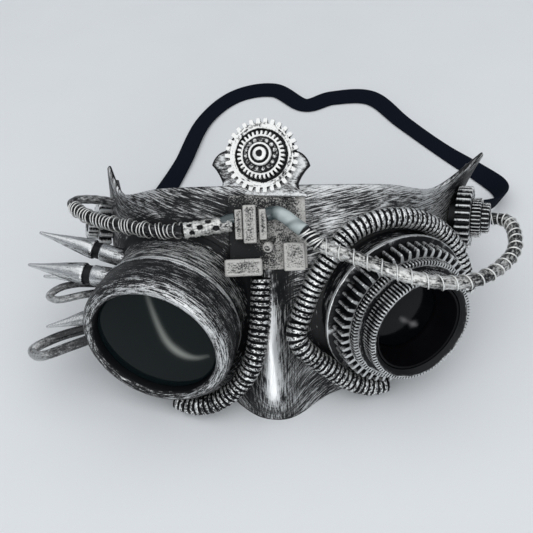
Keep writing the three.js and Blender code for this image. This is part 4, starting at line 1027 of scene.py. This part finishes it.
# copy of the imported plate, its edges rounded; the rounded edges carry more paint than the flats; it is
# lighter towards the right and darker towards the top, with patches of painted shade beside the blocks
def makeBridgePlate():
    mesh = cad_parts["bridge_plate"].data.copy()
    mesh.name = "bridgePlate"
    work = bmesh.new()
    work.from_mesh(mesh)
    bmesh.ops.remove_doubles(work, verts=work.verts, dist=1e-6)
    bmesh.ops.dissolve_limit(work, angle_limit=math.radians(3), verts=work.verts, edges=work.edges)
    sharp = [edge for edge in work.edges if edge.calc_face_angle(0.0) > math.radians(50)]
    bmesh.ops.bevel(work, geom=sharp, offset=bridgeSet["edge"] * 0.001, segments=2, affect="EDGES",
                    profile=0.5)
    bmesh.ops.triangulate(work, faces=work.faces)
    longEdges = [edge for edge in work.edges if edge.calc_length() > 0.004]
    bmesh.ops.subdivide_edges(work, edges=longEdges, cuts=4, use_grid_fill=True)
    work.to_mesh(mesh)
    work.free()
    places = np.zeros(len(mesh.vertices) * 3, np.float32)
    mesh.vertices.foreach_get("co", places)
    side, upward, outward = planeAxes(bridgeSet["facing"])
    flat = places.reshape(-1, 3) * 1000 - rowShift - np.asarray(bridgeSet["centre"])
    x, y = flat @ side, flat @ upward
    # lighter towards the right and darker towards the top
    wearAndLight = (bridgeSet["plateLevel"] + bridgeSet["acrossTilt"] * np.clip(x / 12, -1, 1)
              + bridgeSet["upTilt"] * np.clip(y / 12, -1, 1))
    rim = np.maximum(*(np.exp(-((at - edge) / 0.6) ** 2) for at, edge in zip((x, y), bridgeSet["rimAt"])))
    # painted shade: dark patches on the plate beside the blocks and the elbow
    for across, up, size in bridgeSet["shadePatches"]:
        near = np.exp(-((x - across) ** 2 + (y - up) ** 2) / size ** 2)
        wearAndLight = wearAndLight - bridgeSet["shadePatchDark"] * near
    wearAndLight = wearAndLight + bridgeSet["rimWorn"] * rim - bridgeSet["backDark"] * (flat @ outward < -0.8)
    setAttribute(mesh, "wearAndLight", wearAndLight)
    setAttribute(mesh, "paint", places * 1000, True)
    piece = dressMesh("bridgePlate", mesh, paints["blockPaint"], 40)
    return settle(piece, "silver_plastic", "bridge_plate")


def makeBridge():
    makeBridgePlate()
    facing = bridgeSet["facing"]
    for name, (node, across, up, width, height, depth, corner, edge) in bridgeSet["blocks"].items():
        inmost = min(width, height) / 2 - 0.1
        rows = [(inmost, 0.1, 0.1), (edge * 0.3, 0.1, 0.1), (0, 0.4, 0.2), (0, depth * 0.6, 0.4),
                (0, depth - edge, 0.7), (edge * 0.3, depth - edge * 0.3, 0.95), (edge, depth, 0.9),
                (edge + 0.5, depth, 0.6), (inmost, depth, 0.5)]
        grid = plateGrid(roundedRectangle(width, height, corner), rows, onBridge(across, up), facing)
        addPiece(name, [grid], "blockPaint", 45, "silver_plastic", node)
    lean = onBridge(*bridgeSet["boltLean"]) - onBridge(0, 0)
    grid = turnedGrid(bridgeSet["boltRows"], onBridge(*bridgeSet["bolt"]), lean, 40)
    addPiece("bridgeBolt", [grid], "blockPaint", 45, "silver_plastic", "bridge_bolt")


makeBridge()
print("bridge block built")

# temple stacks: node, teeth, tip, tooth depth, heights on the stack's axis
templeSet = {
    "right": {"foot": (80.8, 66.9, 43.8), "axis": (0.93, -0.31, 0.17), "neck": 6.5, "pale": 0.0, "rows": [
        ("rightTempleGear", "right_temple_gear", 27, 13.2, 2.1, 1.4, 7.4),
        ("rightTempleFineGear", "right_temple_fine_gear", 32, 8.4, 1.1, 7.5, 11.4),
        ("rightTempleHub", "right_temple_hub", 20, 6.4, 0.8, 11.5, 14.6)]},
    "left": {"foot": (-67.5, 73.5, 41.0), "axis": (-0.92, -0.22, 0.33), "neck": 5.5, "pale": 0.3, "rows": [
        ("leftTempleGear", "left_temple_gear", 16, 10.2, 1.7, 0.0, 5.4),
        ("leftTempleHub", "left_temple_hub", 18, 6.0, 0.9, 5.5, 9.4)]},
}


# each stack: toothed discs with small bevels, and a neck from the lowest disc into the face
def makeTemples():
    for stack in templeSet.values():
        foot, axis, neck = np.asarray(stack["foot"], float), stack["axis"], stack["neck"]
        drop = -np.linspace(0, 16, 161)
        depth = drop[np.argmax(faceStandOff(foot + drop[:, None] * unit(axis)) < -0.6)]
        for k, (name, node, teeth, tip, cut, low, top) in enumerate(stack["rows"]):
            root, edge = tip - cut, 0.35
            rows = [(0, low, 0.1), (root - 0.8, low, 0.2), (tip - edge, low, 0.5, 1),
                    (tip, low + edge, 0.75, 1), (tip, top - edge, 0.75, 1), (tip - edge, top, 1.0, 0.95),
                    (root - 0.6, top, 0.6), (root * 0.62, top, 0.5), (root * 0.6, top - 0.4, -0.2),
                    (0, top - 0.4, 0.0)]
            grids = [turnedGrid(rows, foot, axis, teeth=teeth, depth=cut, table=thinTooth)]
            grids[0]["wearAndLight"] = grids[0]["wearAndLight"] + stack["pale"]
            if k == 0:
                rows = [(0, depth), (neck, depth, 0.0), (neck, low + 0.5, 0.2), (0, low + 0.5, 0.2)]
                grids.append(turnedGrid(rows, foot, axis, 40))
            addPiece(name, grids, "gearPaint", 30, "silver_plastic", node)


makeTemples()
print("temple gears cut")

# ribbed hoses: routes in mm; each rib is a flat crown with a rounded groove beside it
hoseSet = {
    "radius": 4.15, "groove": 0.95, "pitch": 2.25, "crown": 0.47, "sides": 28, "lead": (0.0, -0.66, 0.75),
    "ribSteps": 12, "sunk": -2.2, "grooveRound": 1.4, "grooveDark": 0.9,
    "crownPaint": {"hose_left": 0.52, "hose_right_upper": 0.62, "hose_right_lower": 0.56},
    "routes": {
        "hoseLeft": ("hose_left", [
            (-2.2, 30.5, 51.4), (-2.6, 25.0, 45.8), (-3.3, 18.8, 39.6), (-4.7, 13.3, 33.6), (-6.6, 8.8, 27.4),
            (-10.4, 5.6, 20.2), (-16.4, 3.6, 13.2), (-24.6, 2.4, 7.6), (-32.4, 3.8, 4.9), (-39.0, 7.0, 4.6)]),
        "hoseRightUpper": ("hose_right_upper", [
            (84.4, 43.4, 23.0), (81.6, 45.6, 33.2), (77.2, 49.8, 43.8), (70.4, 52.0, 51.4),
            (61.8, 50.4, 58.8), (53.0, 48.2, 63.2), (44.3, 45.8, 64.8), (36.8, 42.8, 64.4),
            (30.5, 39.2, 62.2), (25.6, 34.8, 58.6), (21.5, 31.2, 54.2), (17.6, 27.6, 48.8),
            (14.6, 23.6, 43.0), (12.2, 20.0, 37.6)]),
        "hoseRightLower": ("hose_right_lower", [
            (11.6, 19.2, 36.8), (10.6, 15.6, 33.0), (12.4, 13.0, 29.2), (16.2, 11.8, 24.6),
            (21.4, 10.4, 19.8), (27.8, 9.0, 14.0), (34.8, 8.2, 8.8), (41.6, 8.8, 5.6), (47.0, 10.8, 4.7)]),
    },
}


def makeHoses():
    crown, pitch = hoseSet["crown"], hoseSet["pitch"]
    for name, (node, rows) in hoseSet["routes"].items():
        _, length = routeCurve(rows, 400)
        line, at = routeCurve(rows, int(round(length[-1] / pitch)) * hoseSet["ribSteps"] + 1)
        start, stop = openStretch(line, hoseSet["sunk"])
        line, at = line[start:stop], at[start:stop]
        dip = np.clip((np.abs((at / pitch) % 1.0 - 0.5) * 2 - crown) / (1 - crown), 0, 1)
        dip = np.sin(dip * math.pi / 2) ** hoseSet["grooveRound"]
        radius = hoseSet["radius"] - hoseSet["groove"] * dip
        wearAndLight = hoseSet["crownPaint"][node] - hoseSet["grooveDark"] * dip
        grid = tubeGrid(line, radius, hoseSet["sides"], hoseSet["lead"], wearAndLight, stretch=1.5, run=at,
                        around=0.45)
        addPiece(name, [grid], "hosePaint", 60, "ribbed_hose", node)


makeHoses()
print("hoses ribbed")

# cables: core radius, route, wire radius and how far it stands off, share of the route that is wound, and the
# winding pitch, looseness and wear and light level along the route
cableSet = {
    "right": {
        "node": "cable_right", "core": "cablePaint", "wire": 0.33, "stand": 0.3, "wound": 1.0,
        "looseAt": (0, 7, 12, 160), "loose": (2.6, 2.2, 0.3, 0.3),
        "onBridge": [(13.9, -0.7, 8.6), (20.0, -6.6, 10.4)],
        "route": [
            (30.8, 26.0, 66.6), (41.2, 20.6, 66.0), (52.0, 16.6, 64.0), (62.8, 15.4, 61.6),
            (75.0, 17.9, 58.4), (84.6, 23.4, 56.4), (92.4, 30.4, 54.6), (97.6, 38.0, 53.4),
            (99.8, 45.6, 52.4), (100.6, 52.0, 51.0), (100.4, 57.4, 49.2)],
        "hub": (18.2, 14.9), "radiusAt": (0, 160), "radius": (2.5, 2.4),
        "wearAndLightAt": (0, 6, 10, 42, 60, 90, 160), "wearAndLight": (-0.1, -0.1, 0.66, 0.62, 0.45, 0.44, 0.48),
        "pitchAt": (0, 6, 9, 75, 95, 130, 160), "pitch": (1.3, 1.5, 5.4, 5.6, 4.4, 3.5, 3.4)},
    "left": {
        "node": "cable_left", "core": "corePaint", "wire": 0.25, "stand": 0.5, "wound": 0.70,
        "looseAt": (0, 30, 60, 90), "loose": (1.3, 1.1, 0.5, 0.3),
        "onBridge": [], "hub": (),
        "route": [
            (-31.5, 43.0, 66.4), (-41.0, 44.6, 65.0), (-51.0, 48.0, 64.2), (-61.0, 52.4, 62.8),
            (-69.9, 57.9, 61.4), (-76.6, 64.2, 60.4), (-79.0, 68.6, 59.4), (-77.0, 71.6, 58.4),
            (-71.0, 72.8, 57.2), (-62.0, 73.2, 54.6)],
        "radiusAt": (0, 50, 58, 90), "radius": (2.25, 2.2, 1.85, 1.8), "wearAndLightAt": (0, 55, 62, 76, 90),
        "wearAndLight": (0.4, 0.4, 1.0, 0.8, 0.3),
        "pitchAt": (0, 10, 22, 60, 90), "pitch": (2.3, 2.0, 1.75, 1.7, 1.7)},
    "sleeve": {
        "radius": 3.0, "sides": 48, "hole": 0.95,
        "route": [(-13.2, 45.4, 66.6), (-21.0, 43.4, 67.4), (-30.8, 42.9, 66.5)],
        "holes": [(3.0, 0.5), (6.2, -0.35), (8.6, 0.8), (11.6, 0.1), (14.8, -0.6), (15.6, 0.7)]},
    "elbow": {
        "radius": 2.7, "sides": 28, "shadeTurn": 0.5, "stubRadius": 1.9,
        "onBridge": [(0.2, 6.6, 2.9), (2.0, 7.0, 3.2), (4.2, 6.9, 4.0), (6.8, 5.4, 5.4), (9.9, 2.6, 6.9),
                     (13.6, -0.5, 8.5)],
        "stub": [(-19.5, 3.0, 2.2), (-17.5, 4.4, 2.3), (-15.0, 5.4, 2.4), (-12.55, 5.8, 2.5)]},
}


# wire wound on a line: the winding angle is the running sum of turns per length, and two slow waves let it
# stand off unevenly
def windingGrid(line, at, core, wire, stand, pitch, loose, sides=7):
    along, normal, binormal = lineFrame(line, (0, 0, 1.0))
    turn = 2 * math.pi * np.concatenate([[0], np.cumsum(np.diff(at) * 2 / (pitch[1:] + pitch[:-1]))])
    out = spokes(turn, normal, binormal)
    stand = stand * (1 + loose * (0.6 * np.sin(at * 0.9) + 0.4 * np.sin(at * 2.3 + 1)))
    coil = line + (core + stand)[:, None] * out
    coil = coil + along * (0.55 * loose * np.cos(turn + 1.3 * np.sin(at * 0.45)))[:, None]
    return tubeGrid(coil, wire, sides, along, 0.85, stretch=0.4)


# core radius waves a little along the cable; the wire covers the stated share of it
def makeCable(name, spec):
    temple = templeSet["right"]
    rows = [onBridge(*row) for row in spec["onBridge"]] + spec["route"]
    rows = rows + [np.asarray(temple["foot"]) + h * unit(temple["axis"]) for h in spec["hub"]]
    line, at = routeCurve(rows, 3000)
    first, last = openStretch(line, -1.5) if spec["node"] == "cable_left" else (0, len(line))
    line, at = line[first:last], at[first:last]
    radius = np.interp(at, spec["radiusAt"], spec["radius"]) * (1 + 0.025 * np.sin(at * 1.7))
    wearAndLight = np.interp(at, spec["wearAndLightAt"], spec["wearAndLight"])
    core = tubeGrid(line[::8], radius[::8], 24, (0, 0, 1.0), wearAndLight[::8], stretch=0.3, run=at[::8])
    addPiece(name + "Cable", [core], spec["core"], 60, "wound_cable", spec["node"])
    wound = int(spec["wound"] * len(line))
    pitch = np.interp(at, spec["pitchAt"], spec["pitch"])
    loose = np.interp(at, spec["looseAt"], spec["loose"])
    pitch = pitch * (1 + loose * (0.2 * np.sin(at * 0.7) + 0.12 * np.sin(at * 1.9)))
    line, at, radius, pitch, loose = (values[:wound] for values in (line, at, radius, pitch, loose))
    winding = windingGrid(line, at, radius, spec["wire"], spec["stand"], pitch, loose)
    addPiece(name + "Winding", [winding], "wirePaint", 60, "bent_wire")


# sleeve with lumps along it and small round hollows, each a bell-shaped dip in the radius
def makeSleeve():
    spec, facing = cableSet["sleeve"], bridgeSet["facing"]
    line, at = routeCurve(spec["route"], 120)
    lumps = 1 + 0.05 * np.sin(at * 1.5) + 0.03 * np.sin(at * 4.1 + 1)
    grid = tubeGrid(line, spec["radius"] * lumps, spec["sides"], facing, 0.45, stretch=0.5, run=at)
    run, turn = withEnds(at)[:, None], ringTurn(spec["sides"])[None, :]
    dips = np.zeros((len(run), spec["sides"]))
    for place, angle in spec["holes"]:
        around = spec["radius"] * np.angle(np.exp(1j * (turn - angle)))
        dips = np.maximum(dips, np.exp(-(((run - place) ** 2 + around ** 2) / spec["hole"] ** 2) ** 2))
    middle = withEnds(line)[:, None]
    grid["points"] = middle + (grid["points"] - middle) * (1 - 0.3 * dips)[..., None]
    grid["wearAndLight"] = 0.6 - 1.6 * dips
    addPiece("leftSleeve", [grid], "cablePaint", 60, "wound_cable", "cable_left_sleeve")


# milky elbow with a short stub: swirls are sine waves of the run bent by the turn; a painted highlight makes
# it paler on one side, and painted shade darkens its start among the clamp bars and the stub behind the
# sleeve
def makeElbow():
    spec, facing = cableSet["elbow"], bridgeSet["facing"]
    line, at = routeCurve([onBridge(*row) for row in spec["onBridge"]], 120)
    elbow = tubeGrid(line, spec["radius"], spec["sides"], facing, run=at)
    run, turn = withEnds(at)[:, None], ringTurn(spec["sides"])[None, :]
    swirl = 0.5 + 0.5 * np.sin(0.4 * run + 2.6 * np.cos(turn + 0.35 * run) + 0.6 * np.sin(1.1 * run))
    shade = 0.62 + 0.38 * np.cos(turn + spec["shadeTurn"])
    # painted highlight: paler on one side; painted shade: darker over the first few mm among the clamp bars
    elbow["wearAndLight"] = np.clip((run - 2.6) / 4, 0.03, 1) * shade * (0.5 + 0.6 * swirl)
    line, at = routeCurve([onBridge(*row) for row in spec["stub"]], 40)
    # the stub stays dark: painted shade behind the sleeve
    stub = tubeGrid(line, spec["stubRadius"], 24, facing, 0.08, run=at)
    addPiece("rightElbow", [elbow, stub], "tubeMilky", 60, "milky_tube", "cable_right_elbow")


def makeCables():
    makeCable("right", cableSet["right"])
    makeCable("left", cableSet["left"])
    makeSleeve()
    makeElbow()


makeCables()
print("cables wound")

# spikes: tip, foot, radius; body rows are share of the radius, way from the cone's foot and wear and light
# level, tip rows radius, way from the tip and wear and light level; painted light makes each spike lighter on
# the side facing up and forward and darker on the rest
spikeSet = {
    # the last three: direction of the side lit by painted light, its share, and the painted shade on the rest
    "cone": 25.5, "collar": 0.92, "sunk": -1.4, "toneBias": (-0.1, -0.55, 0.83), "litSideShare": 0.55, "dark": 0.3,
    "body": [(0.92, -4.2, 0.7), (0.88, -3.8, 0.8), (0.84, -3.6, -0.8), (0.84, -0.9, -0.8), (0.94, -0.6, 0.3),
             (1, -0.2, 0.6), (1, 0.8, 0.6), (0.9, 4.0, 0.5), (0.74, 8.5, 0.55), (0.5, 14.5, 0.65),
             (0.3, 20.0, 0.8)],
    "tip": [(0.75, -1.2, 0.9), (0.55, -0.4, 0.9), (0, 0, 0.9)],
    "rows": {
        "spikeUpper": ("spike_upper", (-95.0, 65.0, 47.0), (-52.0, 48.5, 43.0), 4.1),
        "spikeMiddle": ("spike_middle", (-98.0, 49.6, 44.0), (-52.0, 36.5, 45.0), 4.6),
        "spikeRear": ("spike_rear", (-95.2, 53.6, 32.0), (-54.0, 46.0, 35.0), 3.0),
        "spikeLow": ("spike_low", (-95.4, 38.4, 16.4), (-56.0, 41.5, 24.0), 4.1),
    },
}


def makeSpikes():
    for name, (node, tip, foot, radius) in spikeSet["rows"].items():
        tip, foot = np.asarray(tip, float), np.asarray(foot, float)
        share = np.linspace(0, 1, 300)
        start, _ = openStretch(foot + share[:, None] * (tip - foot), spikeSet["sunk"])
        length, collar = np.linalg.norm(tip - foot), radius * spikeSet["collar"]
        first, cone = share[start] * length, length - spikeSet["cone"]
        rows = [(0, first, 0.1), (collar, first, 0.1)]
        rows += [(radius * wide, cone + way, high) for wide, way, high in spikeSet["body"]]
        rows += [(wide, length + way, high) for wide, way, high in spikeSet["tip"]]
        grid = turnedGrid(rows, foot, tip - foot, 48, brush=1.0)
        grid["paint"][..., 2] *= 0.2
        # painted light: lighter on the side facing up and forward, darker on the rest
        middle = grid["points"].mean(1, keepdims=True)
        facing = unit(grid["points"] - middle + 1e-6) @ unit(spikeSet["toneBias"])
        toneBias = spikeSet["litSideShare"] * np.clip(facing, -0.4, 1) - spikeSet["dark"]
        grid["wearAndLight"] = grid["wearAndLight"] + toneBias
        addPiece(name, [grid], "spikePaint", 40, "silver_plastic", node)


makeSpikes()
print("spikes turned")

# hooks: radius and route of each; tone along the share of the route, lighter round the bend and darker
# towards both ends
hookSet = {
    "sunk": -1.4, "toneBiasAt": (0, 0.3, 0.5, 0.62, 1), "toneBias": (0.05, 0.28, 0.66, 0.6, 0.15),
    "rows": {
        "hookUpper": ("hook_upper", 1.5, [
            (-58.0, 43.0, 37.0), (-70.0, 43.4, 37.2), (-78.9, 43.6, 37.4), (-86.0, 42.2, 36.6),
            (-89.5, 39.4, 35.6), (-86.4, 37.0, 35.8), (-74.0, 37.8, 37.4), (-58.0, 39.2, 38.4)]),
        "hookLower": ("hook_lower", 2.05, [
            (-56.0, 33.0, 25.0), (-77.0, 29.6, 24.6), (-90.0, 26.6, 22.6), (-97.0, 22.6, 21.4),
            (-94.0, 19.2, 22.0), (-80.0, 20.4, 26.2), (-62.0, 23.6, 31.6)]),
    },
}


def makeHooks():
    for name, (node, radius, rows) in hookSet["rows"].items():
        line, at = routeCurve(rows, 260)
        start, stop = openStretch(line, hookSet["sunk"])
        toneBias = np.interp(np.linspace(0, 1, stop - start), hookSet["toneBiasAt"], hookSet["toneBias"])
        grid = tubeGrid(line[start:stop], radius, 18, (0, 0, 1.0), toneBias, stretch=0.25, run=at[start:stop])
        addPiece(name, [grid], "hookPaint", 60, "bent_wire", node)


makeHooks()
print("hooks bent")

# pale table, a broad soft box overhead and a weak low lamp in front; lamp rows are place, size and power
stageSet = {
    "table": (0.78, 0.80, 0.815), "size": 2.4, "sky": (0.86, 0.92, 1.0), "skyPower": 0.355,
    "lamps": {"softBox": ((0.02, -0.22, 1.1), 2.6, 18.4), "frontLamp": ((-0.04, -1.5, 0.46), 0.7, 5.0)},
}


def makeStage():
    half = stageSet["size"] / 2
    corners = [(-half, -half, 0), (half, -half, 0), (half, half, 0), (-half, half, 0)]
    mesh = bpy.data.meshes.new("table")
    mesh.from_pydata(corners, [], [(0, 1, 2, 3)])
    mesh.materials.append(plainMaterial("tableTop", stageSet["table"], 0.55, 0.015, 30.0, 0.02))
    table = linkObject("table", mesh)
    world = bpy.data.worlds.new("softSky")
    bpy.context.scene.world = world
    world.use_nodes = True
    sky = world.node_tree.nodes["Background"]
    sky.inputs["Color"].default_value = (*stageSet["sky"], 1)
    sky.inputs["Strength"].default_value = stageSet["skyPower"]
    for name, (place, size, power) in stageSet["lamps"].items():
        data = bpy.data.lights.new(name, "AREA")
        data.size, data.energy = size, power
        lamp = linkObject(name, data)
        lamp.location = place
        lamp.rotation_euler = (-Vector(place)).to_track_quat("-Z", "Y").to_euler()
    bpy.context.scene.view_settings.view_transform = "Standard"


makeStage()
